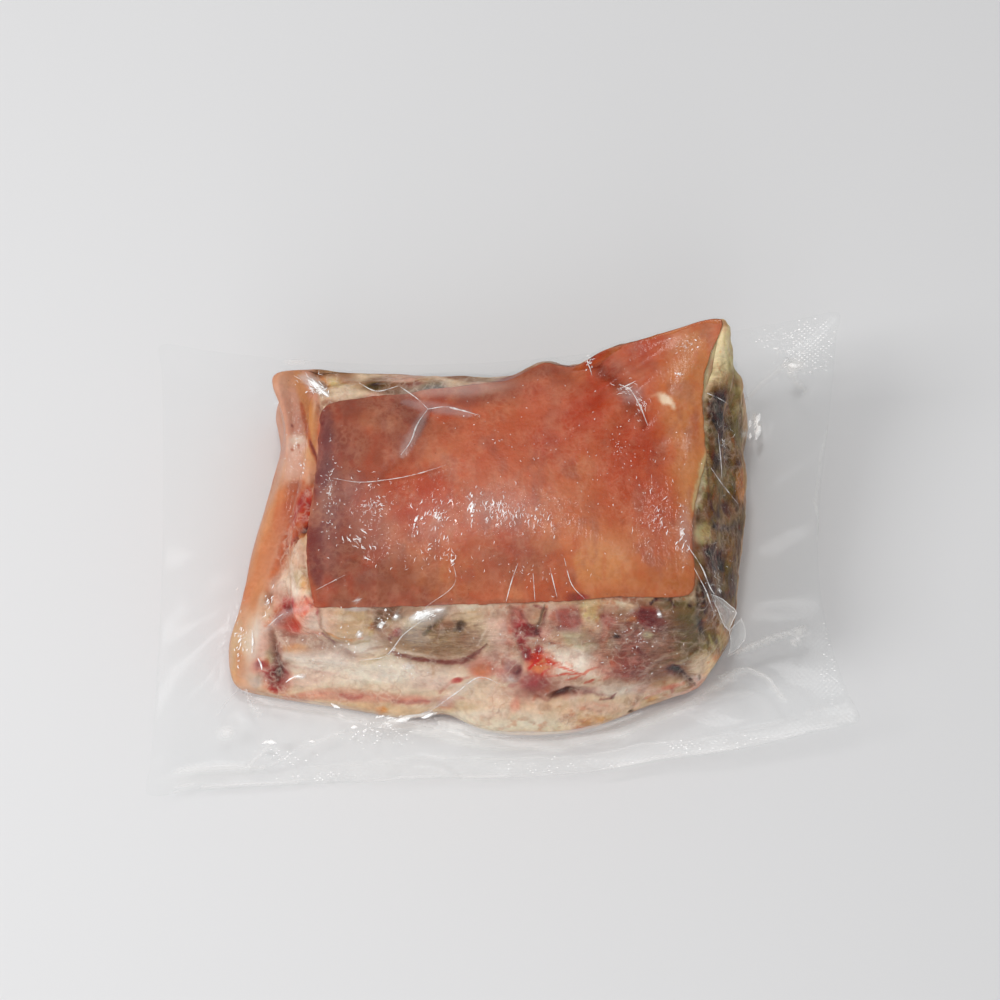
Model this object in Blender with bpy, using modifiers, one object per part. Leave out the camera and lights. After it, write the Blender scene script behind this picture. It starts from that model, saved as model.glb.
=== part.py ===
"""Pressed pork head meat sealed in a clear vacuum bag, as one solid.

The solid is the outer form of the sealed pack. The film lies tight over a block of two slabs
of meat, a lower one whose left end turns up and an upper one whose back right corner curls,
and ends all round in a flat margin. Metres, +Z up, front at -Y. The origin is under the middle
of the pack, in the plane that it rests on.
"""

import math
from dataclasses import dataclass

import bmesh
import bpy
import numpy as np

MM = 0.001

# Margin of the bag.
FILM_PAIR = 0.5
RIPPLE_HEIGHT = 1.1
RIPPLES_ROUND = 22

# Flat underside and the round edge up to the foot of the meat.
UNDERSIDE_INSET = 9.0
UNDERSIDE_RINGS = (0.45, 0.85, 1.0)

# Bulge of each slab's side between the outlines below.
LOWER_BULGE = 1.5
UPPER_BULGE = 3.5

# Rind on top: height at its middle, and the shares of the crown at which it is lofted.
TOP_MIDDLE = (2.0, 6.0)
TOP_HEIGHT = 67.0
TOP_RINGS = (0.93, 0.78, 0.6, 0.42, 0.22)

# Fold in the rind beside the curled corner: start, end, half width and depth.
FOLD_START = (34.0, 66.0)
FOLD_END = (62.0, 26.0)
FOLD_HALF_WIDTH = 9.0
FOLD_DEPTH = 3.0

# Columns of the cage along each of the four sides.
SIDE_COLUMNS = 16
SUBDIVISION = 1


@dataclass(frozen=True)
class Outline:
    """One closed outline round the pack, in millimetres.

    The corners run front left, front right, back right, back left. The sides run front, right,
    back, left. Bow moves the middle of a side outwards, lean moves its first quarter outwards
    and its last quarter inwards, and lift raises its middle.
    """

    corners: tuple
    bow: tuple
    lean: tuple
    lift: tuple
    softness: int

    def ring(self):
        """Return the outline as an array of points, a column count for each side."""
        points = []
        for side in range(4):
            start = np.array(self.corners[side], dtype=float)
            end = np.array(self.corners[(side + 1) % 4], dtype=float)
            along = end - start
            outward = np.array((along[1], -along[0], 0.0))
            outward /= np.linalg.norm(outward)
            for column in range(SIDE_COLUMNS):
                share = column / SIDE_COLUMNS
                once = math.sin(math.pi * share)
                twice = math.sin(2.0 * math.pi * share)
                point = start + along * share
                point += outward * (self.bow[side] * once + self.lean[side] * twice)
                point[2] += self.lift[side] * once
                points.append(point)
        return soften(np.array(points), self.softness)


RIM = Outline(
    corners=((-147.0, -107.0, 5.0), (147.0, -79.0, 16.0), (145.0, 109.0, 22.0), (-148.0, 94.0, 20.0)),
    bow=(7.0, -12.0, -12.0, -3.0),
    lean=(-3.0, -3.0, 1.0, 0.0),
    lift=(-5.0, -4.0, -8.0, 0.0),
    softness=0,
)
FOOT = Outline(
    corners=((-115.0, -63.0, 8.0), (86.0, -65.0, 9.0), (107.0, 77.0, 10.0), (-105.0, 74.0, 9.0)),
    bow=(16.0, 9.0, 2.0, -3.0),
    lean=(-5.0, 2.5, 2.0, -2.5),
    lift=(-1.0, 0.0, -1.0, 0.0),
    softness=3,
)
SHOULDER = Outline(
    corners=((-111.0, -54.0, 22.0), (91.0, -57.0, 26.0), (101.0, 73.0, 46.0), (-96.0, 67.0, 51.0)),
    bow=(15.0, 8.0, 3.0, -3.0),
    lean=(-4.5, 1.0, 2.0, -4.0),
    lift=(-2.0, -6.0, -19.0, -2.0),
    softness=2,
)
SEAM = Outline(
    corners=((-87.0, -52.0, 35.0), (88.0, -53.0, 40.0), (97.0, 75.0, 58.0), (-80.0, 64.0, 46.0)),
    bow=(6.0, 2.0, -2.0, 4.0),
    lean=(0.0, 1.5, 2.0, -4.0),
    lift=(-1.0, -4.0, -6.0, 1.0),
    softness=2,
)
CROWN = Outline(
    corners=((-78.0, -45.0, 56.0), (80.0, -43.0, 60.0), (94.0, 80.0, 77.0), (-78.0, 49.0, 55.0)),
    bow=(1.0, -5.0, -4.5, 4.0),
    lean=(0.0, 0.0, 0.5, -1.0),
    lift=(0.0, -4.0, -2.0, 0.0),
    softness=1,
)


def soften(ring, passes):
    """Return a closed ring with each point drawn towards its two neighbours."""
    for _ in range(passes):
        ring = 0.5 * ring + 0.25 * (np.roll(ring, 1, axis=0) + np.roll(ring, -1, axis=0))
    return ring


def outward_directions(ring):
    """Return the level direction away from the ring's middle at each of its points."""
    away = ring - ring.mean(axis=0)
    away[:, 2] = 0.0
    return away / np.linalg.norm(away, axis=1)[:, None]


def between(inner, outer, share, bulge):
    """Return the ring at a share of the way from one to another, pushed outwards by a bulge."""
    ring = inner + (outer - inner) * share
    return ring + outward_directions(ring) * bulge


def margin_ring(foot, rim, share):
    """Return a ring of the margin, rippled between the foot of the meat and the rim."""
    ring = foot + (rim - foot) * share
    turns = np.linspace(0.0, 2.0 * math.pi, len(ring), endpoint=False)
    ring[:, 2] += RIPPLE_HEIGHT * math.sin(math.pi * share) * np.sin(RIPPLES_ROUND * turns)
    return ring


def fold_drop(points):
    """Return how far the fold in the rind lowers each point."""
    start = np.array(FOLD_START)
    along = np.array(FOLD_END) - start
    share = np.clip((points[:, :2] - start) @ along / (along @ along), 0.0, 1.0)
    nearest = start + share[:, None] * along
    distance = np.linalg.norm(points[:, :2] - nearest, axis=1)
    return FOLD_DEPTH * np.exp(-((distance / FOLD_HALF_WIDTH) ** 2))


def top_ring(crown, share):
    """Return a ring of the rind's upper face, from the crown at 1 to the middle at 0."""
    middle = np.array((*TOP_MIDDLE, TOP_HEIGHT))
    ring = middle + (crown - middle) * share
    level = share**3
    ring[:, 2] = TOP_HEIGHT + (crown[:, 2] - TOP_HEIGHT) * level
    ring[:, 2] -= fold_drop(ring)
    return ring


def underside_ring(foot, share):
    """Return a level ring of the flat underside, at a share of its full size."""
    edge = foot - outward_directions(foot) * UNDERSIDE_INSET
    middle = edge.mean(axis=0)
    ring = middle + (edge - middle) * share
    ring[:, 2] = 0.0
    return ring


def pack_rings():
    """Return every ring of the pack, from the middle of the underside to the top."""
    rim = RIM.ring()
    foot = FOOT.ring()
    shoulder = SHOULDER.ring()
    seam = SEAM.ring()
    crown = CROWN.ring()
    lower_film = np.array((0.0, 0.0, FILM_PAIR))
    rings = [underside_ring(foot, share) for share in UNDERSIDE_RINGS]
    rings.append(margin_ring(foot, rim, 0.02) - 3.0 * lower_film)
    rings.extend(margin_ring(foot, rim, share) - lower_film for share in (0.33, 0.67, 1.0))
    rings.extend(margin_ring(foot, rim, share) for share in (1.0, 0.67, 0.33))
    rings.append(foot)
    rings.append(between(foot, shoulder, 0.5, LOWER_BULGE))
    rings.append(shoulder)
    rings.append(between(shoulder, seam, 0.5, LOWER_BULGE))
    rings.append(seam)
    rings.append(between(seam, crown, 0.5, UPPER_BULGE))
    rings.append(crown)
    rings.extend(top_ring(crown, share) for share in TOP_RINGS)
    return rings


def centred(rings):
    """Return the rings moved so that the origin is under the middle of the pack."""
    everything = np.concatenate(rings)
    middle = 0.5 * (everything.min(axis=0) + everything.max(axis=0))
    middle[2] = 0.0
    return [ring - middle for ring in rings]


def loft(name, rings):
    """Make a closed mesh object lofted through the rings, with a point at each end."""
    mesh = bpy.data.meshes.new(name)
    bm = bmesh.new()
    bm.edges.layers.float.new("crease_edge")
    bm.verts.layers.float.new("crease_vert")
    rows = [[bm.verts.new(point * MM) for point in ring] for ring in rings]
    for lower, upper in zip(rows, rows[1:]):
        for column in range(len(lower)):
            after = (column + 1) % len(lower)
            bm.faces.new((lower[column], lower[after], upper[after], upper[column]))
    for row, ring in ((rows[0], rings[0]), (rows[-1], rings[-1])):
        pole = bm.verts.new(ring.mean(axis=0) * MM)
        for column in range(len(row)):
            bm.faces.new((row[column], row[(column + 1) % len(row)], pole))
    crease_rim(bm, rows)
    bmesh.ops.recalc_face_normals(bm, faces=bm.faces)
    bm.to_mesh(mesh)
    bm.free()
    mesh.shade_smooth()
    return bpy.data.objects.new(name, mesh)


def crease_rim(bm, rows):
    """Hold the two edges of the bag's rim and its square corners under subdivision."""
    edge_crease = bm.edges.layers.float["crease_edge"]
    corner_crease = bm.verts.layers.float["crease_vert"]
    widest = sorted(rows, key=lambda row: max(vert.co.x for vert in row))[-2:]
    for row in widest:
        for column, vert in enumerate(row):
            edge = bm.edges.get((vert, row[(column + 1) % len(row)]))
            edge[edge_crease] = 1.0
            if column % SIDE_COLUMNS == 0:
                vert[corner_crease] = 1.0


def packed_meat_material():
    """Return the glossy pink-brown of cooked rind under clear film."""
    material = bpy.data.materials.new("packed_meat")
    material.use_nodes = True
    surface = material.node_tree.nodes["Principled BSDF"]
    surface.inputs["Base Color"].default_value = (0.55, 0.2, 0.12, 1.0)
    surface.inputs["Roughness"].default_value = 0.25
    surface.inputs["Metallic"].default_value = 0.0
    return material


def clear_scene():
    """Remove the objects that the scene starts with."""
    for old in list(bpy.data.objects):
        bpy.data.objects.remove(old, do_unlink=True)


def main():
    """Model the sealed pack and put it in its own collection."""
    clear_scene()
    collection = bpy.data.collections.new("pressed_pork_head_meat")
    bpy.context.scene.collection.children.link(collection)
    pack = loft("sealed_pack", centred(pack_rings()))
    pack.data.materials.append(packed_meat_material())
    collection.objects.link(pack)
    smooth = pack.modifiers.new("soft_form", "SUBSURF")
    smooth.levels = SUBDIVISION
    smooth.render_levels = SUBDIVISION


main()
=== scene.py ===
"""Looks of a block of pressed pork head meat sealed in a clear vacuum bag.

The meat is two slabs inside the bag's form, an upper one with its rind on top and a lower one
whose rind turns up at the left end. The bag is one clear film over the block with a flat margin
all round. Sizes are millimetres until a mesh is made, and places on the visible side are given
in the 1000 by 1000 frame of the viewpoint and laid onto the surfaces from there.
"""

from __future__ import annotations

import logging
import math
from dataclasses import dataclass, field
from collections.abc import Sequence
from enum import Enum

import bpy
import numpy as np
from mathutils import Matrix, Vector
from mathutils.bvhtree import BVHTree

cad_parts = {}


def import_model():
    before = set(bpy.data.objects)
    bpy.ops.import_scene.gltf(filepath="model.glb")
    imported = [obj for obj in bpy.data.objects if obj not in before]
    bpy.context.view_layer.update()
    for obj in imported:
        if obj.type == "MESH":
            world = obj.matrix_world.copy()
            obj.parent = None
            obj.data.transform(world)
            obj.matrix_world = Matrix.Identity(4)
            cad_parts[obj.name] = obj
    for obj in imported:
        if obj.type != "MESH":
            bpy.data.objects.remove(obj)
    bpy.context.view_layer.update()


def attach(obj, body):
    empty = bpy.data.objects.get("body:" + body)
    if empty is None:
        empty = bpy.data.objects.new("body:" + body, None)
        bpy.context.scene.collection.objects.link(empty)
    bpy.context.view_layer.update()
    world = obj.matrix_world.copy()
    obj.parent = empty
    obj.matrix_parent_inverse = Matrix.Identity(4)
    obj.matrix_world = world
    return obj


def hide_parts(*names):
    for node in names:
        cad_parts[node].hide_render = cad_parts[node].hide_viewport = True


MM = 0.001
NODE = "sealed_pack"
BODY = "root"
LOG = logging.getLogger("pressed_meat_pack")
PathMark = tuple[float, tuple[tuple[float, float], ...]]


class Tint(Enum):
    """Named colours of the meat, as display red, green and blue."""

    CORAL_RIND = (195, 98, 68)
    SALMON_RIND = (199, 107, 79)
    RED_RIND = (184, 68, 46)
    ORANGE_RIND = (206, 124, 78)
    PALE_RIND = (216, 150, 106)
    BROWN_RIND = (152, 86, 64)
    DUSKY_RIND = (142, 82, 66)
    PURPLE_RIND = (108, 54, 60)
    MAUVE_RIND = (146, 84, 76)
    PINK_RIND = (226, 178, 154)
    AMBER_RIND = (200, 132, 78)
    TAN_RIND = (204, 144, 106)
    RUST_RIND = (174, 84, 54)
    CREAM_FAT = (220, 194, 164)
    WHITE_FAT = (230, 210, 190)
    PINK_FAT = (224, 184, 164)
    TAN_FAT = (206, 172, 134)
    YELLOW_FAT = (204, 182, 112)
    GREEN_FAT = (198, 190, 150)
    ORANGE_FAT = (210, 148, 90)
    PINK_MUSCLE = (200, 138, 118)
    ROSE_MUSCLE = (176, 104, 92)
    BROWN_LEAN = (156, 114, 92)
    GREY_LEAN = (174, 142, 106)
    OLIVE_LEAN = (122, 104, 66)
    DARK_LEAN = (84, 64, 46)
    MAROON = (120, 54, 52)
    CRIMSON = (156, 46, 52)
    BRIGHT_BLOOD = (210, 66, 44)
    BLOOD_WASH = (214, 112, 88)
    # Near-black laid in pits, grooves and shadow lines: painted shade.
    PIT_SHADE = (62, 42, 38)
    LILAC = (186, 146, 136)
    CLEAN_WHITE = (246, 230, 210)
    GREY_FAT = (194, 172, 146)
    BLUE_WHITE = (200, 190, 184)
    SHADED_FAT = (190, 164, 126)
    SHADED_LEAN = (118, 100, 74)
    TAUPE = (172, 138, 118)
    MIST = (214, 200, 180)
    BUTTER = (222, 210, 176)
    ROSY_RIND = (206, 150, 126)
    OLIVE_BROWN = (112, 98, 72)
    DARK_OLIVE = (80, 68, 50)
    PALE_OLIVE = (150, 138, 104)
    # Tints of the right face, darker than the front's, partly their own colour and partly painted
    # shade of the face turned from the key light.
    SIDE_FAT = (194, 184, 144)
    SIDE_BROWN = (142, 108, 82)
    MILKY_FAT = (230, 215, 198)
    DEEP_ORANGE = (172, 100, 56)
    SPLIT_SKIN = (216, 178, 144)
    # Paler rind tone; laid on the rind's middle it is painted highlight of the film's sheen.
    GLOW_RIND = (210, 124, 98)
    BRUISED = (150, 92, 80)

    @property
    def shown(self) -> np.ndarray:
        """Return the display values from 0 to 1."""
        return np.array(self.value) / 255.0


def linear(colour: np.ndarray) -> np.ndarray:
    """Turn display values from 0 to 1 into linear ones.

    Args:
        colour: display values of any shape.

    Returns:
        Linear values of the same shape.
    """
    low = colour / 12.92
    high = ((colour + 0.055) / 1.055) ** 2.4
    return np.where(colour <= 0.04045, low, high)


def under_film(colour: np.ndarray, facing: np.ndarray) -> np.ndarray:
    """Return the tissue colour that shows as a display colour through glossy film.

    Args:
        colour: display colour wanted at each point.
        facing: how squarely each point faces the viewpoint, from -1 to 1.

    Returns:
        Linear colours, darker where film seen aslant adds its pale sheen.
    """
    slant = np.clip(1.0 - np.abs(facing), 0.0, 1.0)[:, None]
    sheen = 0.018 + 0.05 * slant**2 * np.array((0.6, 0.85, 1.0))
    return np.clip((linear(np.clip(colour, 0.0, 1.0)) - sheen) / 1.06, 0.004, 1.0)


def shade(red: int, green: int, blue: int) -> tuple[float, float, float, float]:
    """Return a display colour as a linear colour for a shader socket."""
    return (*linear(np.array((red, green, blue)) / 255.0), 1.0)


def smooth_step(low: float, high: float, value: np.ndarray) -> np.ndarray:
    """Ease values from 0 at low to 1 at high.

    Args:
        low: value at which the result is 0.
        high: value at which the result is 1, which may be below low.
        value: the values to ease.

    Returns:
        The eased shares.
    """
    share = np.clip((value - low) / (high - low), 0.0, 1.0)
    return share * share * (3.0 - 2.0 * share)


@dataclass(frozen=True)
class Grain:
    """Seeded noise through space, for uneven tones and surfaces."""

    seed: int = 1

    def value(self, points: np.ndarray, size: float) -> np.ndarray:
        """Return smooth noise from -1 to 1 at each point.

        Args:
            points: places in millimetres.
            size: distance over which the noise changes, in millimetres.

        Returns:
            One value for each point.
        """
        scaled = points / size + 211.0 + 17.0 * self.seed
        cell = np.floor(scaled).astype(np.int64)
        part = scaled - cell
        part = part * part * (3.0 - 2.0 * part)
        total = np.zeros(len(points))
        for corner in range(8):
            step = np.array((corner & 1, corner >> 1 & 1, corner >> 2 & 1))
            weight = np.prod(np.where(step == 1, part, 1.0 - part), axis=1)
            total += weight * self._at(cell + step)
        return total * 2.0 - 1.0

    def layered(self, points: np.ndarray, size: float, layers: int = 3) -> np.ndarray:
        """Return noise with finer layers at half the strength each.

        Args:
            points: places in millimetres.
            size: size of the coarsest layer.
            layers: number of layers.

        Returns:
            One value for each point, roughly from -1 to 1.
        """
        total = np.zeros(len(points))
        for layer in range(layers):
            total += Grain(self.seed + layer).value(points, size / 2**layer) / 2**layer
        return total

    def _at(self, cell: np.ndarray) -> np.ndarray:
        """Return a repeatable value from 0 to 1 for each whole-numbered cell."""
        mixed = cell[:, 0] * 374761393 + cell[:, 1] * 668265263 + cell[:, 2] * 1442695041
        mixed = (mixed + self.seed * 974634777) & 0xFFFFFFFF
        mixed = ((mixed ^ (mixed >> 13)) * 1274126177) & 0xFFFFFFFF
        return (mixed ^ (mixed >> 16)).astype(float) / 0xFFFFFFFF


@dataclass(frozen=True)
class Viewpoint:
    """Where the pack is seen from, and how places on it land in the square frame."""

    aim: tuple[float, float, float] = (-1.0, 28.4, 0.0)
    elevation: float = 65.0
    distance: float = 1612.5
    lens: float = 135.0
    sensor: float = 36.0
    frame: float = 1000.0

    def location(self) -> np.ndarray:
        """Return the place of the eye in millimetres."""
        tilt = math.radians(self.elevation)
        back = np.array((0.0, -math.cos(tilt), math.sin(tilt)))
        return np.array(self.aim) + back * self.distance

    def axes(self) -> tuple[np.ndarray, np.ndarray, np.ndarray]:
        """Return the directions right, up and ahead."""
        ahead = np.array(self.aim) - self.location()
        ahead /= np.linalg.norm(ahead)
        right = np.array((1.0, 0.0, 0.0))
        return right, np.cross(right, ahead), ahead

    def place(self, points: np.ndarray) -> np.ndarray:
        """Return where points land in the frame.

        Args:
            points: places in millimetres.

        Returns:
            Frame places, across and down.
        """
        right, up, ahead = self.axes()
        offset = points - self.location()
        depth = offset @ ahead
        focal = self.frame * self.lens / self.sensor
        across = self.frame / 2 + focal * (offset @ right) / depth
        down = self.frame / 2 - focal * (offset @ up) / depth
        return np.stack((across, down), axis=1)

    def facing(self, points: np.ndarray, normals: np.ndarray) -> np.ndarray:
        """Return how squarely each point faces the eye, from -1 to 1."""
        towards = self.location() - points
        towards /= np.linalg.norm(towards, axis=1)[:, None]
        return np.einsum("ij,ij->i", towards, normals)

    def sight(self, across: float, down: float) -> tuple[Vector, Vector]:
        """Return the line of sight through a place in the frame, in metres.

        Args:
            across: frame place from the left.
            down: frame place from the top.

        Returns:
            Its start and its direction.
        """
        right, up, ahead = self.axes()
        focal = self.frame * self.lens / self.sensor
        half = self.frame / 2
        direction = ahead * focal + right * (across - half) + up * (half - down)
        return Vector(self.location() * MM), Vector(direction).normalized()

    def make_camera(self) -> bpy.types.Object:
        """Make the camera at this viewpoint and return it."""
        data = bpy.data.cameras.new("camera")
        data.lens = self.lens
        data.sensor_width = self.sensor
        data.clip_start = 0.05
        data.clip_end = 20.0
        camera = bpy.data.objects.new("camera", data)
        right, up, ahead = self.axes()
        turn = Matrix((right, up, -ahead)).transposed().to_4x4()
        camera.matrix_world = Matrix.Translation(Vector(self.location() * MM)) @ turn
        bpy.context.scene.collection.objects.link(camera)
        bpy.context.scene.camera = camera
        return camera


@dataclass(frozen=True)
class Dab:
    """A roundish spot at a place in the frame, with a tint or a height in millimetres.

    Strength and edge are in hundredths, and the turn in degrees rises to the right.
    """

    what: Tint | float
    across: float
    down: float
    wide: float
    high: float
    strength: float = 85
    turn: float = 0
    edge: float = 45

    def weight(self, places: np.ndarray) -> np.ndarray:
        """Return how much of the dab each place takes, from 0 to its strength."""
        turn, edge = math.radians(self.turn), self.edge / 100
        offset = places - np.array((self.across, self.down))
        along = offset[:, 0] * math.cos(turn) - offset[:, 1] * math.sin(turn)
        aside = offset[:, 0] * math.sin(turn) + offset[:, 1] * math.cos(turn)
        distance = np.hypot(along / self.wide, aside / self.high)
        return self.strength / 100 * smooth_step(1.0 + edge, 1.0 - edge, distance)


@dataclass(frozen=True)
class Streak:
    """A line through places in the frame, with a tint or a height, thinner at its ends."""

    what: Tint | float
    path: tuple[tuple[float, float], ...]
    half_width: float
    strength: float = 90
    edge: float = 60
    taper: float = 50

    def weight(self, places: np.ndarray) -> np.ndarray:
        """Return how much of the streak each place takes, from 0 to its strength."""
        points = np.array(self.path, dtype=float)
        lengths = np.linalg.norm(np.diff(points, axis=0), axis=1)
        starts = np.concatenate(((0.0,), np.cumsum(lengths)))
        nearest = np.full(len(places), 1e9)
        travelled = np.zeros(len(places))
        for index, (start, end) in enumerate(zip(points, points[1:])):
            along = end - start
            share = np.clip(((places - start) @ along) / (along @ along), 0.0, 1.0)
            distance = np.linalg.norm(places - start - share[:, None] * along, axis=1)
            closer = distance < nearest
            nearest = np.where(closer, distance, nearest)
            travelled = np.where(closer, starts[index] + share * lengths[index], travelled)
        middle = np.clip(np.sin(np.pi * travelled / starts[-1]), 0.0, 1.0) ** 0.5
        width = self.half_width * (1.0 + self.taper / 100 * (middle - 1.0))
        edge = self.edge / 100
        return self.strength / 100 * smooth_step(1.0 + edge, 1.0 - edge, nearest / width)


Marks = tuple[Dab | Streak, ...]


def painted(*groups: tuple) -> Marks:
    """Return marks from groups of rows that share a tint or a height.

    Args:
        groups: what the marks lay down, then a row for each. A row of plain numbers is a dab's
            place, reach, strength, turn and edge. A row that starts with a tuple is a streak's:
            its half width, strength, edge and taper, then the places of its path.

    Returns:
        The marks, in order.
    """
    found: list[Dab | Streak] = []
    for what, *rows in groups:
        for first, *rest in rows:
            if isinstance(first, tuple):
                found.append(Streak(what, tuple(zip(rest[::2], rest[1::2])), *first))
            else:
                found.append(Dab(what, first, *rest))
    return tuple(found)


@dataclass(frozen=True)
class Outline:
    """One closed outline round the pack.

    The corners run front left, front right, back right, back left, and the sides front, right,
    back, left. Bow moves a side's middle outwards, lean moves its first quarter outwards and its
    last quarter inwards, and lift raises its middle.
    """

    corners: tuple[tuple[float, float, float], ...]
    bow: tuple[float, ...]
    lean: tuple[float, ...]
    lift: tuple[float, ...]
    softness: int

    def ring(self, side_columns: int = 16) -> np.ndarray:
        """Return the outline's points, with a column count for each side."""
        points = []
        for side in range(4):
            start = np.array(self.corners[side])
            along = np.array(self.corners[(side + 1) % 4]) - start
            outward = np.array((along[1], -along[0], 0.0))
            outward /= np.linalg.norm(outward)
            for column in range(side_columns):
                share = column / side_columns
                once = math.sin(math.pi * share)
                twice = math.sin(2.0 * math.pi * share)
                point = start + along * share
                point = point + outward * (self.bow[side] * once + self.lean[side] * twice)
                point[2] += self.lift[side] * once
                points.append(point)
        ring = np.array(points)
        for _ in range(self.softness):
            ring = 0.5 * ring + 0.25 * (np.roll(ring, 1, axis=0) + np.roll(ring, -1, axis=0))
        return ring


@dataclass
class RingSheet:
    """A closed surface of rings from a lower pole to an upper one.

    Levels are each row's distance along the surface from the first ring, marks the same distance
    at each key ring, and turns each column's way round, one whole number for each side.
    """

    rows: np.ndarray
    levels: np.ndarray
    marks: np.ndarray
    turns: np.ndarray

    def normals(self) -> np.ndarray:
        """Return the outward direction at each point of each ring."""
        across = np.roll(self.rows, -1, axis=1) - np.roll(self.rows, 1, axis=1)
        upward = np.gradient(self.rows, axis=0)
        normal = np.cross(across, upward)
        length = np.linalg.norm(normal, axis=2)
        return normal / np.maximum(length, 1e-9)[:, :, None]

    def points(self) -> np.ndarray:
        """Return every point in one list."""
        return self.rows.reshape(-1, 3)

    def blurred(self, values: np.ndarray, passes: int) -> np.ndarray:
        """Return values spread over their neighbours on the sheet.

        Args:
            values: one value for each point.
            passes: number of times that neighbours are averaged.

        Returns:
            The softened values.
        """
        grid = values.reshape(self.rows.shape[:2])
        for _ in range(passes):
            grid = 0.5 * grid + 0.25 * (np.roll(grid, 1, axis=1) + np.roll(grid, -1, axis=1))
            ends = np.concatenate((grid[:1], grid, grid[-1:]))
            grid = 0.5 * grid + 0.25 * (ends[:-2] + ends[2:])
        return grid.ravel()

    def mesh(self, name: str) -> bpy.types.Mesh:
        """Return the surface as a smooth closed mesh in metres.

        Args:
            name: the mesh's name.

        Returns:
            The mesh, whose last two points are the lower and the upper pole.
        """
        count, columns = self.rows.shape[:2]
        poles = np.stack((self.rows[0].mean(axis=0), self.rows[-1].mean(axis=0)))
        vertices = np.concatenate((self.points(), poles)) * MM
        index = np.arange(count * columns).reshape(count, columns)
        after = np.roll(index, -1, axis=1)
        quads = np.stack((index[:-1], after[:-1], after[1:], index[1:]), axis=-1)
        faces = quads.reshape(-1, 4).tolist()
        low, high = count * columns, count * columns + 1
        faces += [(low, int(b), int(a)) for a, b in zip(index[0], after[0])]
        faces += [(high, int(a), int(b)) for a, b in zip(index[-1], after[-1])]
        mesh = bpy.data.meshes.new(name)
        mesh.from_pydata(vertices.tolist(), [], faces)
        mesh.shade_smooth()
        return mesh


def add_colour(mesh: bpy.types.Mesh, name: str, values: np.ndarray) -> None:
    """Store a colour at each point of a ring mesh, its poles taking the nearest ring's.

    Args:
        mesh: mesh made by RingSheet.
        name: name of the attribute.
        values: one row of three values for each ring point.
    """
    layer = mesh.attributes.new(name, "FLOAT_COLOR", "POINT")
    rows = np.concatenate((values, values[:1], values[-1:]))
    flat = np.concatenate((rows, np.ones((len(rows), 1))), axis=1)
    layer.data.foreach_set("color", flat.astype(np.float32).ravel())


def add_object(name: str, mesh: bpy.types.Mesh) -> bpy.types.Object:
    """Return a new object at the origin that holds the mesh."""
    piece = bpy.data.objects.new(name, mesh)
    bpy.context.scene.collection.objects.link(piece)
    return piece


@dataclass(frozen=True)
class Nudge:
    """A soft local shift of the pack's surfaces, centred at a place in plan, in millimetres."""

    centre: tuple[float, float]
    reach: tuple[float, float]
    move: tuple[float, float, float]
    turn: float = 0.0
    heights: tuple[float, float] = (38.0, 54.0)

    def shift(self, points: np.ndarray) -> np.ndarray:
        """Return how far each point moves, nothing below the first height."""
        turn = math.radians(self.turn)
        offset = points[:, :2] - np.array(self.centre)
        along = offset[:, 0] * math.cos(turn) + offset[:, 1] * math.sin(turn)
        aside = offset[:, 1] * math.cos(turn) - offset[:, 0] * math.sin(turn)
        far = (along / self.reach[0]) ** 2 + (aside / self.reach[1]) ** 2
        share = np.exp(-far) * smooth_step(*self.heights, points[:, 2])
        return share[:, None] * np.array(self.move)


ANY_HEIGHT = (-2.0, -1.0)
NUDGES = (
    Nudge((17.0, 60.0), (9.0, 14.0), (0.0, 1.6, 1.4)),
    Nudge((0.0, 63.0), (12.0, 8.0), (0.0, -4.0, -0.5)),
    Nudge((30.0, 65.0), (8.0, 12.0), (0.0, -3.0, -2.6), turn=-30.0),
    Nudge((-20.0, 20.0), (30.0, 26.0), (0.0, 0.0, 1.0)),
    Nudge((-58.0, 0.0), (16.0, 40.0), (0.0, 0.0, -1.4)),
    Nudge((-36.0, 44.0), (5.0, 14.0), (0.0, 0.0, -1.6), turn=35.0),
    Nudge((-50.0, 66.0), (32.0, 12.0), (0.0, 1.2, 4.6), heights=(28.0, 38.0)),
    Nudge((-104.0, 51.0), (17.0, 17.0), (6.0, 0.0, 0.0), heights=(48.0, 34.0)),
    Nudge((-96.0, 68.0), (13.0, 12.0), (-5.6, 1.0, 3.0), heights=(34.0, 46.0)),
    Nudge((-102.0, 26.0), (16.0, 24.0), (2.6, 0.0, 0.0), heights=ANY_HEIGHT),
    Nudge((-109.0, -22.0), (16.0, 20.0), (1.8, 0.0, 0.0), heights=ANY_HEIGHT),
    Nudge((-112.0, -61.0), (9.0, 9.0), (-2.6, -1.4, 0.0), heights=ANY_HEIGHT),
    Nudge((-113.0, -45.0), (9.0, 8.0), (-1.6, 0.0, 0.0), heights=ANY_HEIGHT),
    Nudge((105.0, -8.0), (14.0, 34.0), (-4.0, 0.0, 0.0), heights=ANY_HEIGHT),
    Nudge((99.0, 58.0), (10.0, 9.0), (2.2, 0.0, 0.0), heights=(38.0, 48.0)),
    Nudge((83.0, 17.0), (8.0, 13.0), (2.0, 0.0, 0.0), heights=(50.0, 58.0)),
    Nudge((106.0, 42.0), (10.0, 9.0), (-2.2, 0.0, 0.0), heights=ANY_HEIGHT),
    Nudge((92.0, -56.0), (12.0, 12.0), (-2.0, 0.0, 0.0), heights=ANY_HEIGHT),
    Nudge((64.0, -74.0), (22.0, 18.0), (0.0, 5.0, 0.0), heights=(40.0, 16.0)),
    Nudge((-24.0, -79.0), (12.0, 12.0), (0.0, 5.6, 0.0), heights=(26.0, 10.0)),
    Nudge((-78.5, -47.0), (5.5, 5.0), (-2.6, -2.0, 0.0), heights=(46.0, 54.0)),
    Nudge((81.5, -45.0), (5.5, 5.0), (2.4, -1.8, 0.0), heights=(50.0, 58.0)),
)


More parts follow.
